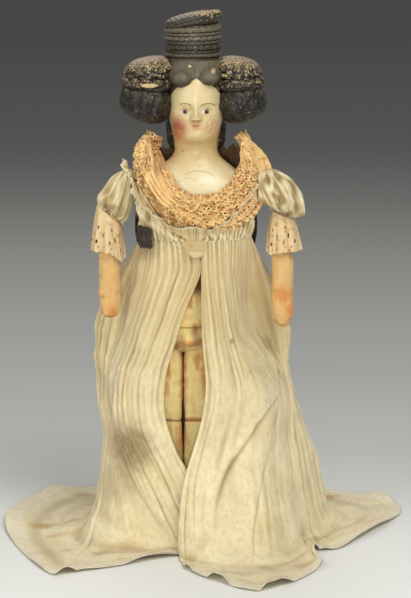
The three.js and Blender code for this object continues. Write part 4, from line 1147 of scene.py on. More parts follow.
# Brown marks on the gown's front, the large ones by her right waist and low on her right front being
# painted shade: the middle, across and up, the half sizes and how dark
gown_marks_and_shade = [
    ((-48, 279), (3.5, 5), 0.8), ((-79, 287), (6, 3), 0.7), ((55, 283), (5, 9), 0.6),
    ((68, 291), (5, 5), 0.5), ((81, 279), (4, 4), 0.9), ((64, 276), (12, 8), 0.45),
    ((-70, 282), (10, 5), 0.5), ((-54, 256), (16, 15), 0.8), ((-64, 88), (20, 26), 0.85),
    ((-76, 50), (16, 18), 0.4), ((22, 178), (2.2, 2.6), 0.8),
]

muslin = Finish("gown_muslin", 0.85, sheen=0.2)
muslin.ground(muslin.noise(22, 4, shift=2), (244, 230, 187), (226, 209, 163))
muslin.lay(muslin.patches(0.5, 0.75, 38, 3, shift=5), (228, 208, 158))
muslin.lay(muslin.step(muslin.z, 60, 240), (198, 174, 120), 0.8)
# Painted shade in the fold valleys and painted highlight on the crests
muslin.lay(muslin.number("valley_shade"), (146, 120, 72), 0.9)
muslin.lay(muslin.number("crest_highlight"), (246, 238, 206), 0.6)
muslin.lay(muslin.number("stain"), (190, 140, 70), 0.8)
muslin.lay(muslin.number("hem_band"), (240, 232, 206), 0.75)
gown_front = muslin.step(muslin.y, 0, -10)
for place, radii, strength in gown_marks_and_shade:
    mark = muslin.ragged(muslin.spot(place, radii, 0.9), 0.6, 0.5, 1.4, 7, 3)
    muslin.lay(muslin.times(mark, strength, gown_front), (132, 104, 62))
muslin.lay(muslin.patches(0.42, 0.66, 3.6, 4, stretch=(1, 1, 1.8), shift=8), (198, 174, 122), 0.3)
muslin.lay(muslin.step(muslin.cells(13, "F1"), 0.06, 0.03), (160, 108, 52), 0.6)
muslin.show()
crumple = (muslin.noise(5, 4, stretch=(1, 1, 1.6), shift=1), 0.7)
fine_crumple = (muslin.noise(2.4, 3, stretch=(1, 1, 2.4), shift=9), 0.35)
muslin.relief(crumple, fine_crumple, muslin.weave(0.5, 0.05))
muslin.set("Subsurface Weight", 0.12)
muslin.set("Subsurface Radius", (0.004, 0.003, 0.002))


def from_front(turn):
    degrees = np.abs(np.degrees(turn)) % 360
    return np.minimum(degrees, 360 - degrees)


def neckline_z(turn):
    risen = read_curve(neckline_shares, from_front(turn))
    return casing_top + seam_allowance + front_rise + (side_rise - front_rise) * risen


def gown_size(z, out=0.0):
    """The gown's inside, or further out: half width, front depth and back depth."""
    up = ramp(z, waist_z, shoulder_z - waist_z)
    half = waist_half + (plate_half - waist_half) * up
    front = waist_depth + (plate_front + bust_ease - waist_depth) * up
    back = waist_depth + (plate_back - waist_depth) * up
    return [size + bodice_ease + out for size in (half, front, back)]


def bodice_size(turn, z, out=0.0):
    low = casing_top + seam_allowance
    rise = ramp(z, low, neckline_z(turn) - low)
    return gown_size(z, (1 - rise) * (gather_depth - 1.5) + out)


def gathers(degrees):
    """The gathers round the waist and neck: the same places for bodice, casing and skirt."""
    chance = np.random.default_rng(77)
    total = np.zeros(np.shape(degrees))
    for pitch in (5.1, 6.7, 3.9, 8.9):
        drift = 1.2 * np.sin(np.radians(degrees) * chance.integers(3, 7) + chance.uniform(0, 6))
        total += np.cos((degrees + drift) * 2 * math.pi / pitch + chance.uniform(0, 6))
    return np.tanh(total * 0.8)


def drop_loose(piece):
    """Takes away the points that no face uses."""
    work = bmesh.new()
    work.from_mesh(piece.data)
    bmesh.ops.delete(work, geom=[v for v in work.verts if not v.link_faces], context="VERTS")
    work.to_mesh(piece.data)
    work.free()


def add_cloth(name, points, thickness, closed=False, drop=None, folds=0, stain=0, hem=0, offset=0):
    """A grid of cloth with its thickness. Faces are left out where drop is true at their first corner.

    It stores where folds stand out and sink, which take painted highlight and painted shade, and where the
    cloth is stained or turned up.
    """
    faces = grid_faces(*points.shape[:2], closed)
    if drop is not None:
        faces = faces[~drop.ravel()[faces[:, 0]]]
    piece = add_mesh(name, points, faces)
    give_numbers(piece, "crest_highlight", np.clip(folds, 0, 1))
    give_numbers(piece, "valley_shade", np.clip(-np.asarray(folds), 0, 1))
    give_numbers(piece, "stain", stain)
    give_numbers(piece, "hem_band", hem)
    if drop is not None:
        drop_loose(piece)
    solid = piece.modifiers.new("thickness", "SOLIDIFY")
    solid.thickness = thickness * MM
    solid.offset = offset
    apply_modifiers(piece)
    return piece


turn, rise = rings(900, 0, 1, 60)
low = casing_top - 1.3
z = low + (neckline_z(turn) - low) * rise
fold = gathers(np.degrees(turn))
drawn = (1 - rise) ** 1.2 * 0.9 + 0.35 * rise**4
soft = ripple([turn * 14 + rise * 2, z / 9], 3.1, 51) + 0.5 * ripple([turn * 30, z / 5], 3.3, 52)
soft = 0.9 * soft * np.clip(4 * rise * (1 - rise), 0, 1)
points = oval(turn, z, bodice_size(turn, z, 0.95 + drawn * fold * 0.7 + soft))
armhole = np.hypot(points[..., 1], points[..., 2] - shoulder_z) < armhole_radius
armhole &= np.abs(points[..., 0] - body_x) > armhole_inset
folds = fold * drawn * 1.1 + soft
bodice = add_cloth("gown_bodice", points, cloth_thickness, True, armhole, folds)
dress(bodice, muslin, "body_and_gown", "bodice")

turn, rise = rings(900, 0, 1, 16)
fold = gathers(np.degrees(turn))
z = casing_low + casing_tall * rise
pinch = 1 - 0.5 * np.sin(math.pi * rise)
out = gather_depth - 1.7 + pinch * 0.4 + fold * 0.8
points = oval(turn, z, gown_size(waist_z, out))
casing = add_cloth("gown_casing", points, cloth_thickness, True, folds=fold, offset=-1)
dress(casing, muslin, "body_and_gown", "waist_casing")

for name, (first, last) in frill_turns.items():
    turn, rise = np.meshgrid(np.radians(np.linspace(first, last, 760)), np.linspace(0, 1, 34))
    in_front = name == "front"
    ruffle = ripple([turn * 11], 2.6, 61) + 0.5 * ripple([turn * 14], 0.9, 62)
    uneven = 1 + 0.3 * ripple([turn * 8], 5, 63)
    # It stands up higher at its end on her right shoulder and has turned down over the lace before it
    shoulder_end = ramp(-np.degrees(turn), 74, 12) * in_front
    turned_down = band(np.degrees(turn), -50, 17) * rise * in_front
    z = neckline_z(turn) + frill_tall * uneven * (rise - 0.55) * (1 + 0.9 * shoulder_end)
    z = z + 9 * shoulder_end * rise - 2.5 * turned_down
    out = 2 + 4.6 * rise**1.5 + (0.3 + 1.5 * rise) * ruffle + 4 * shoulder_end * rise + 5.5 * turned_down
    points = oval(turn, z, bodice_size(turn, z, np.maximum(out, 1.6)))
    # The frill's top edge is given a painted highlight
    folds = ruffle * 0.35 + 1.5 * band(rise, 1, 0.1)
    frill = add_cloth(name + "_frill", points, frill_thickness, folds=folds)
    dress(frill, muslin, "body_and_gown", name + "_neck_frill")

# The placket tab
# A small scalloped flap of the same muslin, sewn over the top of the front slit.
tab_half = 7.4
tab_height = 15
tab_thickness = 0.5
tab_y = -36.6

turn, rise = np.meshgrid(np.linspace(-1, 1, 60), np.linspace(0, 1, 60))
down = 1 - rise
width = tab_half * np.where(rise > 0.5, 1, np.sqrt(np.clip(1 - (1 - rise / 0.5) ** 2, 0, 1)))
scallop = np.cos(turn * math.pi * 5)
x = body_x + 0.3 + turn * width * (1 + 0.02 * scallop)
z = casing_top + 0.2 - tab_height * down * (1 - 0.02 * (1 - scallop))
worked = band(rise, 0.12, 0.05) + band(rise, 0.27, 0.04)
y = tab_y - 1.8 * down + 0.5 * np.cos(turn * math.pi * 3) * down + 0.006 * (x - body_x) ** 2 - 0.25 * worked
points = np.stack([x, y, z], axis=-1)
rust_spot = hill(x, z, body_x - 4, 258, 2, 1.5)
tab = add_cloth("slit_tab", points, tab_thickness, folds=worked - 0.25, stain=rust_spot)
dress(tab, muslin, "body_and_gown", "placket_tab")

# The sleeves
# Short muslin puffs, set over the arms. Her left one is the larger. Each is gathered on to an
# eyelet cuff, and its lower edge slopes.
puff_radius = {"right": 14, "left": 22}
puff_crush = {"right": 0.85, "left": 1.5}
puff_slope = {"right": 0.9, "left": -0.4}
bodice_outer = plate_half + 2.3
sleeve_height = 36
sleeve_drop = 2
# The sleeve's inner edge stands just inside the bodice's outer face
sleeve_overlap = 0.1
sleeve_end_radius = arm_radius * 0.92 + 1.9
# Shares of the height over the shoulder, of the puff's radius, of the slope and of the way out
puff_shares = [
    (0.12, 0.95, 0.7, 0.85), (0.3, 1, 0.45, 0.7), (0.5, 0.97, 0.2, 0.5),
    (0.75, 0.8, 0, 0.3), (0.92, 0.5, 0, 0.1), (0.99, 0.2, 0, 0), (1, 0.03, 0, 0),
]

for name, side in sides:
    radius, slope, crushed = puff_radius[name], puff_slope[name], puff_crush[name]
    near_body = bodice_outer + radius * 0.35
    rows = [(-sleeve_drop + up, sleeve_end_radius, 1, arm_offset) for up in (0, 1.5)]
    for up, wide, tilt, far in puff_shares:
        rows.append((sleeve_height * up, radius * wide, tilt, near_body + (arm_offset - near_body) * far))
    turn, row = rings(420, 0, 1, 130)
    up, size, tilt, middle = read_evenly(rows, row)
    fold = ripple([turn * 7 + row * 2, row * 1.5], 2.6, 71 + side)
    fold = fold + 0.7 * ripple([turn * 15, row * 2], 2.2, 73 + side)
    low_crush = np.exp(-row * 5)
    crush = ripple([turn * 3, row * 9], 2.4, 75 + side) + meander([turn * 4, row * 5], 4, 77 + side)
    size = size - 1.1 + fold * (0.55 + 0.5 * low_crush) * np.clip((1 - row) * 4, 0, 1)
    size = size + crushed * crush * (1 - row)
    x = body_x + side * middle + size * np.sin(turn)
    z = shoulder_z + up + slope * tilt * side * (x - body_x - side * arm_offset) - 0.4 * (row > 0.9)
    points = np.stack([x, -size * np.cos(turn), z], axis=-1)
    inside_bodice = side * (x - body_x) <= bodice_outer + sleeve_overlap
    folds = fold * 0.5 + 0.6 * crushed * crush - 0.3 * low_crush
    sleeve = add_cloth(name + "_puff", points, cloth_thickness, True, inside_bodice, folds)
    dress(sleeve, muslin, name + "_arm_body", name + "_sleeve")

# The underarm shade sheets
# Dark sheets behind each armhole, between the bodice and the sleeve: painted shade for the deep shadow
# under each arm. They shade the gap beside the waist.
shade_sheet_low, shade_sheet_high = 236, 300
shade_sheet_y = 10
shade_sheet_thickness = 0.5
# The patch of painted shade over the waist: its middle, across and up, and its half sizes
shaded_patch = (-52, 262, 10.5, 9.6)

shade_sheet = Finish("underarm_shade_sheet", 0.95)
# Painted shade: dark brown cloth, with the colour of shaded muslin above the armpit
shade_sheet.ground(shade_sheet.noise(9, 3), (66, 56, 50), (44, 38, 36))
shade_sheet.lay(shade_sheet.patches(0.55, 0.7, 5, 3, shift=2), (92, 70, 50))
shade_sheet.lay(shade_sheet.step(shade_sheet.z, 272, 279), (158, 138, 96))
shade_sheet.show()
shade_sheet.relief((shade_sheet.noise(4, 3), 0.5), shade_sheet.weave(0.6, 0.05))

for name, side in sides:
    across, rise = np.meshgrid(np.linspace(0, 1, 60), np.linspace(0, 1, 140))
    z = shade_sheet_low + (shade_sheet_high - shade_sheet_low) * rise
    near = gown_size(z, -1.5)[0]
    far = bodice_outer - 0.6 - 4 * (1 - ramp(z, 236, 26))
    x = body_x + side * (near + (far - near) * across)
    y = shade_sheet_y + 3 * np.sin(across * 3) + 0.8 * ripple([across * 3, rise * 4], 1.7, 87)
    sheet = add_cloth(name + "_underarm_shade_sheet", np.stack([x, y, z], axis=-1), shade_sheet_thickness)
    dress(sheet, shade_sheet, "body_and_gown")

# A ragged patch of the same painted shade lies over the waist under her right arm
turn, rise = np.meshgrid(np.radians(np.linspace(-98, -48, 110)), np.linspace(0, 1, 90))
z = 250 + 28 * rise
points = oval(turn, z, gown_size(z, 5.6 + 3.6 * (1 - ramp(z, 261, 5))))
patch_x, patch_z, wide, tall = shaded_patch
from_middle = np.hypot((points[..., 0] - patch_x) / wide, (z - patch_z) / tall)
from_middle = from_middle + 0.1 * ripple([turn * 12, rise * 6], 2.2, 88)
patch = add_cloth("right_side_shade_sheet", points, shade_sheet_thickness, drop=from_middle > 1)
dress(patch, shade_sheet, "body_and_gown")

# The cuffs
# Eyelet cotton, once white, scalloped along the edge and worked with rows of holes. Each cuff is
# gathered to the lower edge of its sleeve and hangs loose round the arm.
cuff_corner = {"right": 9, "left": 3}
corner_turn = math.radians(55)
cuff_length = 31
cuff_round = 76
cuff_thickness = 0.5
# The rows of worked holes: where the first is round the cuff, their pitch, their height over the edge,
# and their half width and half height
eyelet_rows = [
    (0, 9.5, 7.5, 1.0, 1.6), (4.7, 9.5, 12.5, 0.75, 2.2), (1.5, 4.75, 3.2, 0.5, 0.5), (2, 13, 19, 0.7, 1.5),
]

eyelet = Finish("eyelet_cotton", 0.85)
eyelet.ground(eyelet.noise(7, 4), (228, 204, 156), (206, 166, 104))
eyelet.lay(eyelet.patches(0.55, 0.72, 5, 3, shift=3), (178, 128, 70))
# Painted highlight on the crests of the cuff's waves
eyelet.lay(eyelet.number("crest_highlight"), (242, 226, 190), 0.4)
eyelet.show()
eyelet.relief((eyelet.noise(3, 3), 0.3), eyelet.weave(0.5, 0.05))

for name, side in sides:
    turn, rise = rings(560, 0, 1, 100)
    outward = side * np.sin(turn)
    slope = puff_slope[name] * outward * (arm_radius + 1.1)
    pressed = 1 - 0.45 * np.maximum(-outward, 0)
    wave = 1.1 * (1 + np.cos(turn * 8 + 0.4)) + 0.6 * ripple([turn * 7, rise], 2.4, 81 + side)
    size = arm_radius + 0.9 + (4.2 + wave) * (1 - rise) ** 0.8 * pressed
    hang = cuff_corner[name] * np.maximum(np.cos(turn + side * corner_turn), 0) ** 4
    low = shoulder_z - cuff_length - hang
    top = shoulder_z - sleeve_drop - 0.6
    z = low + (top + slope - low) * rise
    z = z - 1.5 * np.abs(np.sin(turn * 11)) ** 0.7 * np.clip(1 - rise * 6, 0, 1)
    centre_drop = cuff_length - (cuff_length - sleeve_drop - 0.6) * rise
    x = body_x + side * arm_offset + size * np.sin(turn)
    y = -centre_drop * arm_lean - size * np.cos(turn)
    round_mm, up_mm = turn / TURN * cuff_round, z - low
    hole = (y**2 + (z - shoulder_z) ** 2 < 42) & (side * (x - body_x) < arm_offset)
    for first, pitch, hole_up, wide, tall in eyelet_rows:
        for hole_round in np.arange(first, cuff_round, pitch):
            hole |= ((round_mm - hole_round) / wide) ** 2 + ((up_mm - hole_up) / tall) ** 2 < 1
    points = np.stack([x, y, z], axis=-1)
    cuff = add_cloth(name + "_eyelet_cuff", points, cuff_thickness, True, hole, wave * 0.3)
    dress(cuff, eyelet, name + "_arm_body", name + "_cuff")

# The skirt
# Three breadths of the same muslin, gathered at the high waist, open in front and trailing on the
# table. Long folds have set in it, and the deep hem has curled.
skirt_thickness = 0.4
skirt_x = body_x - 4
# Half width, half depth and height of each level of guides between the waist and the floor
skirt_levels = [(82, 48, 182), (83, 56, 140), (83, 56, 70)]
hem_half = (174, 180)
floor_z, hem_z = 3.75, 0.75
hem_depth = 13
# Degrees round the waist, then x and y shares at the bell, at mid height, low down, on the floor
# and at the hem
skirt_guides = [
    (-2, -0.14, -0.96, -0.31, -0.89, -0.07, -0.89, 0.02, -0.31, 0.07, -0.34),
    (-45, -0.5, -0.74, -0.7, -0.76, -0.49, -0.86, -0.1, -0.31, -0.03, -0.37),
    (-66, -0.64, -0.36, -0.79, -0.38, -0.7, -0.54, -0.29, -0.29, -0.15, -0.44),
    (-82, -0.77, 0.06, -0.865, -0.04, -0.81, -0.25, -0.49, -0.28, -0.57, -0.67),
    (-94, -0.95, 0.24, -0.955, 0.16, -0.88, 0.03, -0.6, -0.12, -0.75, -0.69),
    (-110, -0.94, 0.6, -0.94, 0.5, -0.91, 0.4, -0.62, 0.09, -1, 0.12),
    (-132, -0.77, 0.98, -0.82, 1, -0.8, 1, -0.56, 0.41, -0.86, 0.78),
    (-158, -0.35, 1.15, -0.36, 1.3, -0.34, 1.45, -0.23, 0.6, -0.36, 0.96),
    (-180, 0, 1.2, 0, 1.38, 0, 1.55, -0.04, 0.64, 0, 1),
    (-202, 0.35, 1.15, 0.36, 1.3, 0.36, 1.45, 0.18, 0.61, 0.36, 0.97),
    (-228, 0.77, 0.98, 0.83, 1, 1.02, 1.05, 0.53, 0.45, 0.8, 0.75),
    (-252, 0.96, 0.6, 0.98, 0.5, 1.26, 0.55, 0.68, 0.24, 1, 0.42),
    (-266, 0.97, 0.24, 0.98, 0.16, 1.14, 0.07, 0.56, 0, 0.68, -0.24),
    (-276, 0.65, 0.06, 0.93, -0.05, 1, -0.18, 0.48, -0.14, 0.53, -0.34),
    (-292, 0.56, -0.36, 0.85, -0.4, 0.88, -0.62, 0.44, -0.37, 0.55, -0.6),
    (-315, 0.46, -0.74, 0.7, -0.82, 0.65, -1, 0.28, -0.53, 0.28, -1),
    (-340, 0.3, -0.94, 0.38, -1, 0.21, -1.1, 0.03, -0.56, 0.03, -0.82),
    (-358, 0.05, -1, 0.09, -0.96, -0.07, -1.08, -0.13, -0.42, -0.1, -0.63),
]
right_seam, left_seam = 6, 10
last_guide = len(skirt_guides) - 1
# First and last guide of each breadth, and how many points across
breadths = {
    "right": (0, right_seam, 560),
    "back": (right_seam, left_seam, 300),
    "left": (left_seam, last_guide, 620),
}
breadth_rows = 230
# How far down the cloth each level lies, in mm from the waist
level_reach = np.array([0.0, 74, 116, 186, 252, 300])
# Level, and how far the free edges of the right and left breadths stand to her left of the guides
edge_shifts = [
    (0, 3, 3), (0.32, 9.5, 3.5), (0.52, 6, 4), (0.7, 2.5, 4.5), (1, 0, 4.8), (1.5, 1.5, 5), (2, 3.4, 5.2),
    (2.5, 0, 5), (2.8, -1, 3.8), (3, 1.5, 2), (3.25, 4, 0.5), (3.6, 2.5, 0), (4.2, 0, 0), (5, 0, 0),
]
# Level, and share of the broad waves there
wave_shares = [(0, 0.3), (1, 1), (2, 1), (3, 0.9), (4, 0.5), (5, 0.15)]
# Soiled places near the hem: across, along and half width
hem_soil = [(-66, -58, 15), (-40, -74, 9), (-88, -66, 9)]


def guide_points():
    rows = []
    for degrees, *shares in skirt_guides:
        x_shares, y_shares = shares[0::2], shares[1::2]
        turn = np.array(math.radians(degrees))
        row = [oval(turn, waist_z + casing_tall, gown_size(waist_z, gather_depth))]
        for (half, deep, z), across, along in zip(skirt_levels, x_shares, y_shares):
            row.append((skirt_x + half * across, deep * along, z))
        for z, across, along in zip((floor_z, hem_z), x_shares[3:], y_shares[3:]):
            row.append((hem_half[0] * across, hem_half[1] * along, z))
        rows.append(row)
    return np.array(rows, dtype=float)


def across_guides(points, place):
    """Points of a smooth curve through the guides, at places counted in guides."""
    i = np.clip(np.floor(place).astype(int), 0, len(points) - 2)
    t = place - i
    t2, t3 = t * t, t * t * t
    slope_in, slope_out = (t3 - 2 * t2 + t) / 2, (t3 - t2) / 2
    weights = (-slope_in, 2 * t3 - 3 * t2 + 1 - slope_out, 3 * t2 - 2 * t3 + slope_in, slope_out)
    nearby = (np.maximum(i - 1, 0), i, i + 1, np.minimum(i + 2, len(points) - 1))
    return sum(points[near] * weight[:, None, None] for near, weight in zip(nearby, weights))


def down_the_cloth(rows, reach):
    """Points on smooth curves through the rows of the levels, at each reach from the waist."""
    gaps = np.diff(level_reach)[:, None, None]
    slopes = np.diff(rows, axis=0) / gaps
    tangents = np.empty_like(rows)
    tangents[1:-1] = (slopes[:-1] * gaps[1:] + slopes[1:] * gaps[:-1]) / (gaps[1:] + gaps[:-1])
    tangents[0], tangents[-1] = slopes[0], slopes[-1]
    i = np.clip(np.searchsorted(level_reach, reach) - 1, 0, len(gaps) - 1)
    wide = gaps[i]
    t = (reach - level_reach[i])[:, None, None] / wide
    return (
        rows[i] * (1 + 2 * t) * (1 - t) ** 2 + rows[i + 1] * t**2 * (3 - 2 * t)
        + wide * (tangents[i] * t * (1 - t) ** 2 - tangents[i + 1] * t**2 * (1 - t))
    )


# The creases, each with its depth, its width in mm and its run of (level, place) points. They were
# pressed in as she lay folded, so the cloth stands rounded between sharp lines.
right_front_creases = [
    (1.8, 0.9, (0.15, 0.1), (1, 0.2), (2, 0.19), (3, 0.16), (4.4, 0.2)),
    (0.9, 0.8, (0.1, 0.25), (1, 0.33), (2, 0.34), (3, 0.33), (4.2, 0.38)),
    (0.5, 0.8, (0.4, 0.42), (1, 0.47), (2, 0.5), (3, 0.48), (3.8, 0.5)),
    (2.3, 1.1, (0.1, 0.5), (1, 0.6), (2, 0.62), (3, 0.63), (4.3, 0.66)),
    (0.6, 0.8, (0.5, 0.66), (1, 0.72), (2, 0.74), (2.8, 0.74)),
    (0.9, 0.9, (0.1, 0.74), (1, 0.9), (2, 0.88), (3, 0.86), (4, 0.9)),
    (2.4, 1.2, (0.3, 0.92), (1, 1.15), (2, 1.02), (3, 1.04), (4.1, 1.1)),
    (0.8, 1.0, (0.1, 1.05), (1, 1.5), (2, 1.22), (3, 1.26), (3.7, 1.3)),
    (1.8, 1.1, (0.5, 1.5), (1, 1.9), (2, 1.6), (2.8, 1.45), (3.6, 1.3)),
    (3.6, 2.8, (1.3, 2.7), (2.3, 2.25), (3, 1.75), (3.9, 1.2)),
    (1.5, 1.3, (0.6, 2.6), (1, 2.9), (1.7, 2.8)),
    (1.9, 1.4, (0.4, 3.1), (1, 3.35), (2, 3.3), (3.2, 3.1)),
    (1.4, 1.5, (0.6, 3.7), (2, 3.9), (3, 3.6), (4.8, 3.5)),
]
left_front_creases = [
    (1.5, 1.0, (0.1, 16.86), (1, 16.78), (2, 16.78), (3, 16.74), (4.3, 16.7)),
    (1.3, 0.9, (0.2, 16.7), (1, 16.58), (2, 16.56), (3, 16.48), (4.0, 16.4)),
    (1.5, 1.0, (0.1, 16.52), (1, 16.36), (2, 16.34), (2.7, 16.3)),
    (1.0, 0.8, (0.3, 16.34), (1, 16.16), (1.9, 16.14)),
    (1.5, 1.0, (0.1, 16.2), (1, 15.9), (2, 15.84), (2.4, 15.82)),
    (1.4, 0.9, (0.2, 16.0), (1, 15.7), (2, 15.69), (2.3, 15.68)),
    (1.5, 1.0, (0.1, 15.82), (1, 15.42), (2, 15.56), (2.3, 15.55)),
    (1.0, 0.9, (0.2, 15.6), (1, 15.1), (1.5, 15.1)),
    (1.4, 1.1, (0.1, 15.4), (0.9, 14.8), (1.3, 14.7)),
    (1.3, 1.1, (0.2, 15.1), (0.8, 14.3), (1.2, 14.1)),
    (
        3.4, 2.4, (1.1, 12.5), (1.6, 12.9), (2.1, 13.9), (2.28, 14.75), (2.46, 15.12),
        (2.77, 15.42), (3.0, 15.66), (3.3, 15.82), (3.7, 15.95),
    ),
    (1.6, 1.4, (2.5, 14.1), (3, 14.7), (3.5, 15.1), (4.2, 15.3)),
    (2.4, 1.6, (0.8, 12.9), (2, 13.3), (3, 13.4), (4.8, 13.5)),
    (1.8, 1.4, (1.3, 12.5), (2, 12.9), (3, 13.0), (4.9, 13.1)),
    (1.8, 1.5, (1.5, 12.0), (3, 12.3), (4.9, 12.5)),
    (1.4, 1.4, (2.6, 11.8), (3.4, 12.0), (4.9, 12.1)),
]
first_back_crease, last_back_crease = 4.15, 11.8


def back_creases():
    """Creases of even kinds round the back, at uneven distances."""
    chance = np.random.default_rng(1834)
    made = []
    where = first_back_crease
    while where < last_back_crease:
        drift = chance.normal(0, 0.08, 3)
        foot = chance.uniform(3.2, 4.7)
        size = (chance.uniform(1, 2), chance.uniform(1, 1.7))
        levels = ((0.15, where), (1.2, where + drift[0]), (2.5, where + drift[1]), (foot, where + drift[2]))
        made.append(size + levels)
        where += chance.uniform(0.13, 0.36)
    return made


def crease_relief(place, level, scale):
    """How far the creases draw the cloth in, in mm, and how much painted shade lies in their lines and
    painted highlight on their lips.
    """
    height, dark, raised = (np.zeros(place.shape) for _ in range(3))
    chance = np.random.default_rng(41)
    for depth, wide, *route in right_front_creases + left_front_creases + back_creases():
        lip_side, fade, phase = chance.choice([-1, 1]), chance.uniform(0.3, 0.55), chance.uniform(0, 6)
        start, end = route[0][0], route[-1][0]
        middle = read_curve(route, level) + 0.012 * np.sin(level * 9 + phase)
        reach = (place - middle) * scale / wide
        near = np.abs(reach)
        if near.min() > 9:
            continue
        ends = np.clip((level - start) * 2.2, 0, 1) * np.clip((end - level) * 1.6, 0, 1)
        ends = ends * (1 - fade * (1 + np.sin(level * 2.7 + phase)) / 2)
        line = np.exp(-(near**1.25)) * ends
        lip = band(reach * lip_side, 2.2, 1.7) * ends
        height += depth * (0.3 * lip - 0.7 * line)
        dark += line * min(depth / 2, 1)
        raised += lip * 0.3
    return height, dark, raised


def skirt_cloth(first, last, columns):
    """The points of a breadth, with its folds, and what the finish needs to know."""
    place_row = np.linspace(first, last, columns)
    reach = level_reach[-1] * np.linspace(0, 1, breadth_rows)
    grid = down_the_cloth(across_guides(guide_points(), place_row).transpose(1, 0, 2), reach)
    place, level = np.meshgrid(place_row, np.interp(reach, level_reach, np.arange(len(level_reach))))
    shifts = read_columns(edge_shifts, level, (1, 2))
    for edge, shift in zip((0, last_guide), shifts):
        grid[..., 0] += shift * np.clip(1 - np.abs(place - edge) / 2.2, 0, 1) ** 1.3
    sideways = np.gradient(grid, axis=1)
    normal = np.cross(sideways, np.gradient(grid, axis=0))
    normal /= np.maximum(np.linalg.norm(normal, axis=-1, keepdims=True), 1e-9)
    scale = np.linalg.norm(sideways, axis=-1) / (place_row[1] - place_row[0])
    degrees = np.interp(place, np.arange(len(skirt_guides)), [row[0] for row in skirt_guides])
    gather = gathers(degrees) * np.exp(-((level / 0.34) ** 1.2))
    broad = 2.2 * (1 - 0.3 * (1 + np.cos(TURN * place + 1.7 * np.sin(level * 1.3))) / 2)
    broad = broad * read_curve(wave_shares, level)
    creases, dark, raised = crease_relief(place, level, scale)
    crush = 0.8 * ripple([place * 2.4, level * 5], 5, 91) + 0.45 * ripple([place * 7, level * 12], 5, 92)
    strand = ripple([place * 26 + 0.8 * np.sin(level * 2.3), level * 1.3], 6.5, 93)
    strand *= np.clip(0.55 + ripple([place * 2, level * 1.6], 3.1, 94), 0.1, 1.2)
    strand *= np.clip(level * 1.5, 0, 1)
    lying = np.clip((level - 3.4) * 1.6, 0, 1)
    across_it = 0.8 * ripple([place * 1.6, level * 15], 4.5, 98) * lying
    flat = np.clip((5 - level) * 1.2, 0.25, 1)
    height = broad + creases + 0.85 * gather + across_it
    height = height + (crush * np.clip(level * 1.5, 0, 1) + 0.18 * strand) * flat
    shade = raised - dark + gather * 0.7 + 0.14 * crush + 0.2 * strand * (1 - 0.7 * lying) + 0.35 * across_it
    return grid + normal * height[..., None], place, level, shade


for name, (first, last, columns) in breadths.items():
    points, place, level, shade = skirt_cloth(first, last, columns)
    near_hem = np.clip((level - 4.35) / 0.65, 0, 1)
    points[..., 2] += 5 * near_hem**2 * np.clip(ripple([place * 2.2], 3.1, 95) + 0.25, 0, 1.4)
    wave = 1.6 * np.clip((level - 3.9) / 0.4, 0, 1) * (1 + ripple([place * 3, level * 2], 2.2, 96))
    points[..., 2] = np.maximum(points[..., 2], 1 + 0.55 * wave * (points[..., 2] < 8))
    steps = np.linalg.norm(np.diff(points[::-1], axis=0), axis=-1)
    to_hem = np.concatenate([np.zeros((1, columns)), np.cumsum(steps, axis=0)])[::-1]
    hem = (to_hem < hem_depth) * 0.7 + band(to_hem, hem_depth, 0.8) * 0.5
    x, y, z = np.moveaxis(points, -1, 0)
    stain = np.clip(ripple([x / 16, y / 16], 3.4, 97) - 0.75, 0, 1)
    for soil_x, soil_y, wide in hem_soil:
        stain = stain + 0.9 * hill(x, y, soil_x, soil_y, wide, wide * 0.5)
    stain = np.clip(stain * (1 - ramp(z, 6, 24)), 0, 1)
    cloth = add_cloth(name + "_breadth", points, skirt_thickness, folds=shade, stain=stain, hem=hem)
    dress(cloth, muslin, "body_and_gown", f"skirt_{name}_breadth")

# The lace bertha
# Old cotton net and bobbin lace, browned to the colour of tea. It follows the low neck, with a
# smooth band over each shoulder, wide crumpled lace on the breast and curled ends at the neck.
lace_ease = 1.2
lace_draw = 0.35
lace_low = 2.2
lace_top = casing_top + front_rise + 29
lace_collar = 40
net_thickness = 0.45
lace_thickness = 0.4
# Degrees from the front, and how far the lace stands up there, as a share
lace_stand = [(0, 0), (24, 0.04), (44, 0.5), (66, 0.95), (100, 1), (130, 0.8), (180, 0.7)]

lace = Finish("aged_lace", 0.9, sheen=0.2)
lace.ground(lace.noise(9, 4), (236, 202, 138), (214, 162, 92))
lace.lay(lace.patches(0.55, 0.72, 6, 3, shift=4), (240, 208, 142))
# Painted highlight on the crests and painted shade in the hollows of the lace
lace.lay(lace.number("crest_highlight"), (244, 214, 150), 0.6)
lace.lay(lace.number("valley_shade"), (168, 108, 56), 0.85)
# Painted shade on the inside of the standing collar behind the neck
lace.lay(lace.number("inside"), (74, 52, 36))
lace.show()
lace.relief((lace.noise(0.9, 2), 0.2), (lace.noise(2.2, 3), 0.3))


def lace_points(turn, rise, out=0.0):
    """A place on the bertha: rise 0 is its outer edge and 1 the edge at the neck."""
    stand = read_curve(lace_stand, from_front(turn))
    low = neckline_z(turn) + lace_low
    high = lace_top + (neckline_z(turn) + lace_collar - lace_top) * stand
    drawn = lace_draw * stand * np.clip(rise, 0, 1) ** 2
    pairs = ((plate_half, neck_half), (plate_front, neck_front), (plate_back, neck_back))
    sizes = [wide + (narrow - wide) * drawn + lace_ease + out for wide, narrow in pairs]
    return oval(turn, low + (high - low) * rise, sizes)


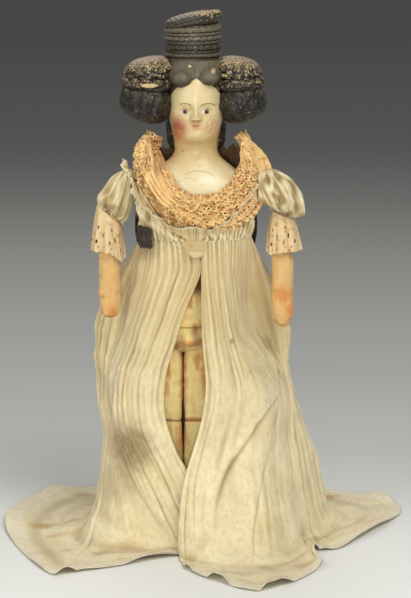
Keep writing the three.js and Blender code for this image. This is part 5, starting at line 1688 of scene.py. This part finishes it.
def eyelets(across, down, pitch, seed):
    """How far each place is from the middle of the nearest hole, in shares of the pitch."""
    shift = np.random.default_rng(seed).uniform(-0.26, 0.26, (64, 64, 2))
    u, v = across / pitch, down / pitch
    column, row = np.floor(u).astype(int), np.floor(v).astype(int)
    nearest = np.full(u.shape, 9.0)
    for aside in (-1, 0, 1):
        for below in (-1, 0, 1):
            c, r = column + aside, row + below
            moved = shift[c % 64, r % 64]
            nearest = np.minimum(nearest, np.hypot(c + 0.5 + moved[..., 0] - u, r + 0.5 + moved[..., 1] - v))
    return nearest


turn, rise = rings(1300, 0, 1, 160)
fold = ripple([turn * 16, rise * 1.2], 3.2, 111)
lump = ripple(list(np.moveaxis(lace_points(turn, rise), -1, 0)), 6, 112)
out = 1.3 + 0.5 * fold * (0.4 + rise) + 0.7 * lump
ragged = 1 + 0.05 * ripple([turn * 40], 8, 113) * (from_front(turn) > 50)
points = lace_points(turn, rise * ragged, np.maximum(out, 0.4))
# The net has holes in front only
holes = (eyelets(turn * 45, rise * 36, 2.6, 114) < 0.3) & (from_front(turn) <= 80)
net = add_cloth("lace_net", points, net_thickness, True, holes, fold * 0.4 + 0.5 * lump - 0.4)
# The inward faces of the collar at the back are marked for painted shade
from_neck = points_of(net) - (body_x, 0, 0)
inward = (from_neck * vectors_of(net, "normal"))[:, :2].sum(axis=1) < 0
behind = ramp(from_front(np.arctan2(from_neck[:, 0], -from_neck[:, 1])), 84, 16)
give_numbers(net, "inside", 0.85 * behind * inward)
dress(net, lace, "body_and_gown", "lace_bertha")

# The loose parts of the bertha
# Strips of the same lace, caught down by hand over the net. They are laid on what the solids of
# the head, the bodice and the net hold up in front.
map_pitch = 2.0
map_x = np.arange(-96.0, 84.0, map_pitch)
map_z = np.arange(240.0, 364.0, map_pitch)
map_y = -300
furthest_back = 12
lace_pitch = 0.42


def forward_map():
    """How far forward the solids come at each place seen from the front, in mm."""
    trees = []
    for name in ("head_front_half", "head_back_half", "bodice", "lace_bertha"):
        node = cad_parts[name]
        corners = [node.matrix_world @ v.co for v in node.data.vertices]
        trees.append(BVHTree.FromPolygons(corners, [list(face.vertices) for face in node.data.polygons]))
    depth = np.full((len(map_z), len(map_x)), np.nan)
    ahead = Vector((0, 1, 0))
    for i, z in enumerate(map_z):
        for k, x in enumerate(map_x):
            hits = [tree.ray_cast(Vector((x, map_y, z)) * MM, ahead)[0] for tree in trees]
            hits = [hit.y / MM for hit in hits if hit is not None]
            if hits:
                depth[i, k] = min(hits)
    return depth


def filled(depth):
    """The map with its gaps filled by going back from the nearest edge, then smoothed."""
    depth = np.minimum(depth, furthest_back)
    for _ in range(60):
        gaps = np.isnan(depth)
        if not gaps.any():
            break
        around = np.stack([np.roll(depth, s, axis=a) for s, a in ((1, 0), (-1, 0), (1, 1), (-1, 1))])
        known = ~np.isnan(around)
        total = np.where(known, around, 0).sum(axis=0)
        count = known.sum(axis=0)
        depth = np.where(gaps & (count > 0), total / np.maximum(count, 1) + 1.5, depth)
    for _ in range(2):
        beside = depth[:-2, 1:-1] + depth[2:, 1:-1] + depth[1:-1, :-2] + depth[1:-1, 2:]
        soft = depth.copy()
        soft[1:-1, 1:-1] = (4 * depth[1:-1, 1:-1] + beside) / 8
        depth = np.minimum(depth, soft)
    return depth


with np.errstate(all="ignore"):
    forward = filled(forward_map())


def forward_y(x, z):
    """The map read between its places."""
    k = np.clip((x - map_x[0]) / map_pitch, 0, len(map_x) - 1.001)
    i = np.clip((z - map_z[0]) / map_pitch, 0, len(map_z) - 1.001)
    k0, i0 = k.astype(int), i.astype(int)
    a, b = k - k0, i - i0
    top = forward[i0, k0] * (1 - a) + forward[i0, k0 + 1] * a
    low = forward[i0 + 1, k0] * (1 - a) + forward[i0 + 1, k0 + 1] * a
    return top * (1 - b) + low * b


def strip_places(route, columns, rows):
    """A strip along a route of (x, z, half width), seen from the front."""
    x, z, half = read_evenly(route, np.linspace(0, 1, columns))
    dx, dz = np.gradient(x), np.gradient(z)
    step = np.hypot(dx, dz)
    run = np.cumsum(step)
    half = half * (1 + 0.06 * np.abs(np.sin(run / 2.1)))
    side = np.linspace(-1, 1, rows)[:, None]
    across = half * side
    run = np.broadcast_to(run, across.shape)
    return x - dz / step * across, z + dx / step * across, run, across, side


def lay_lace(piece):
    dress(piece, lace, "body_and_gown")


def lace_strip(name, route, flat, seed, lift=1.0, crumple=1.0, pleat=0.0, pitch=0.0, gap=0.3, curl=1.0):
    """Lace laid on the breast: crumpled, pleated along its run, or worked with holes."""
    length = sum(math.hypot(b[0] - a[0], b[1] - a[1]) for a, b in zip(route, route[1:]))
    wide = 2 * max(row[2] for row in route)
    x, z, run, across, side = strip_places(route, int(length / lace_pitch), max(int(wide / lace_pitch), 12))
    lump = 0.6 * ripple([x, z], 6.5, seed) + 0.5 * ripple([x, z], 3, seed + 1)
    pleats = pleat * ripple([across, run * 0.12], 4.2, seed + 2)
    edge = np.abs(side) ** 6
    curly = meander([x, z], 8, seed + 6) * min(crumple, 1.2) ** 2
    out = lift + crumple * (1 + lump) + pleats + curl * edge * (1 + lump) + 0.65 * curly
    folds = 0.35 * lump * min(crumple, 1) + 0.5 * curly + 0.7 * pleats + 0.3 * edge
    drop = None
    if pitch:
        holes = eyelets(run, across, pitch, seed + 3)
        rim = band(holes, gap + 0.13, 0.1)
        out = out + 0.5 * rim
        folds = folds + 0.7 * rim - 0.35
        drop = holes < gap
    points = np.stack([x, forward_y(x, z) - np.maximum(out, 0.5), z], axis=-1)
    lay_lace(add_cloth(name, points, lace_thickness, drop=drop, folds=folds))


def curled_end(name, turns, rises, flat, seed, thick, layers):
    """A bunched end of the lace, standing at the neck."""
    for layer in range(layers):
        turn, rise = np.meshgrid(np.radians(np.linspace(*turns, 150)), np.linspace(*rises, 110))
        round_off = np.sin(math.pi * (rise - rises[0]) / (rises[1] - rises[0]))
        round_off = np.sqrt(np.clip(round_off * np.sin(math.pi * (turn - turn.min()) / np.ptp(turn)), 0, 1))
        place = list(np.moveaxis(lace_points(turn, rise), -1, 0))
        lump = 0.6 * ripple(place, 5, seed + layer) + 0.9 * meander(place, 7, seed + 5 + layer)
        points = lace_points(turn, rise, 1 + round_off * (thick * (0.7 + 0.4 * layer) + 1.6 * lump))
        for axis in (0, 2):
            points[..., axis] += 0.9 * round_off * ripple(place, 3.4, seed + 9 + layer + axis)
        holes = eyelets(turn * 46, rise * 38, 3.6, seed + 20 + layer) < 0.2
        end = add_cloth(f"{name}_{layer + 1}", points, lace_thickness, drop=holes, folds=0.8 * lump)
        lay_lace(end)


# Each strip: its run of (across, up, half width), its flat size and its random seed, then how it is laid
smooth_band = {"lift": 0.8, "crumple": 0.35, "pleat": 0.7, "curl": 0.7}
strips = {
    "right_shoulder_band": (
        [(-51, 335, 8), (-46, 325, 9.5), (-39, 311, 9.5), (-30, 299, 9), (-19, 291, 8), (-8, 287, 6)],
        (0.11, 0.023), 121, smooth_band,
    ),
    "left_shoulder_band": (
        [(27, 347, 4), (36, 336, 6), (46, 322, 7.5), (50, 309, 7), (50, 299, 4)],
        (0.11, 0.017), 131, smooth_band,
    ),
    "breast_lace": (
        [
            (-24, 294, 5), (-13, 289.5, 9), (0, 286, 11), (14, 287, 13),
            (27, 294, 14), (36, 305, 11), (37, 316, 7), (33, 326, 4),
        ],
        (0.14, 0.024), 141, {"lift": 1.4, "crumple": 1.1, "pitch": 4.4, "gap": 0.2, "curl": 1.2},
    ),
    "breast_edging": (
        [(-30, 290, 3), (-14, 281.5, 4), (4, 277, 5), (20, 277, 6), (33, 282, 6), (43, 292, 5), (47, 303, 3)],
        (0.14, 0.012), 151, {"lift": 1.6, "crumple": 1.2, "pitch": 4.2, "gap": 0.2, "curl": 1.5},
    ),
    "neck_edging": (
        [
            (-35, 322, 2.5), (-29, 311, 3.4), (-20, 301, 3.6), (-8, 297, 3.6),
            (6, 297.5, 3.6), (18, 303, 3.8), (27, 313, 3.6), (32, 324, 3),
        ],
        (0.125, 0.011), 161, {"lift": 1.6, "crumple": 1.1, "pitch": 3.8, "gap": 0.2, "curl": 1.2},
    ),
    "right_neck_curl": (
        [(-54, 320, 5), (-51, 330, 8), (-46, 340, 9), (-41, 347, 6)],
        (0.06, 0.027), 191, {"lift": 2, "crumple": 1.8, "pitch": 5, "gap": 0.18, "curl": 1.6},
    ),
}
for name, (route, flat, seed, laid) in strips.items():
    lace_strip(name, route, flat, seed, **laid)
# Each bunched end: first and last degrees round, first and last rise, flat size, seed, thickness, layers
curled_ends = {
    "right_curled_end": ((-50, -92), (0.42, 0.98), (0.04, 0.03), 171, 4, 2),
    "left_curled_end": ((58, 84), (0.5, 0.98), (0.025, 0.025), 181, 2, 1),
}
for name, shape in curled_ends.items():
    curled_end(name, *shape)
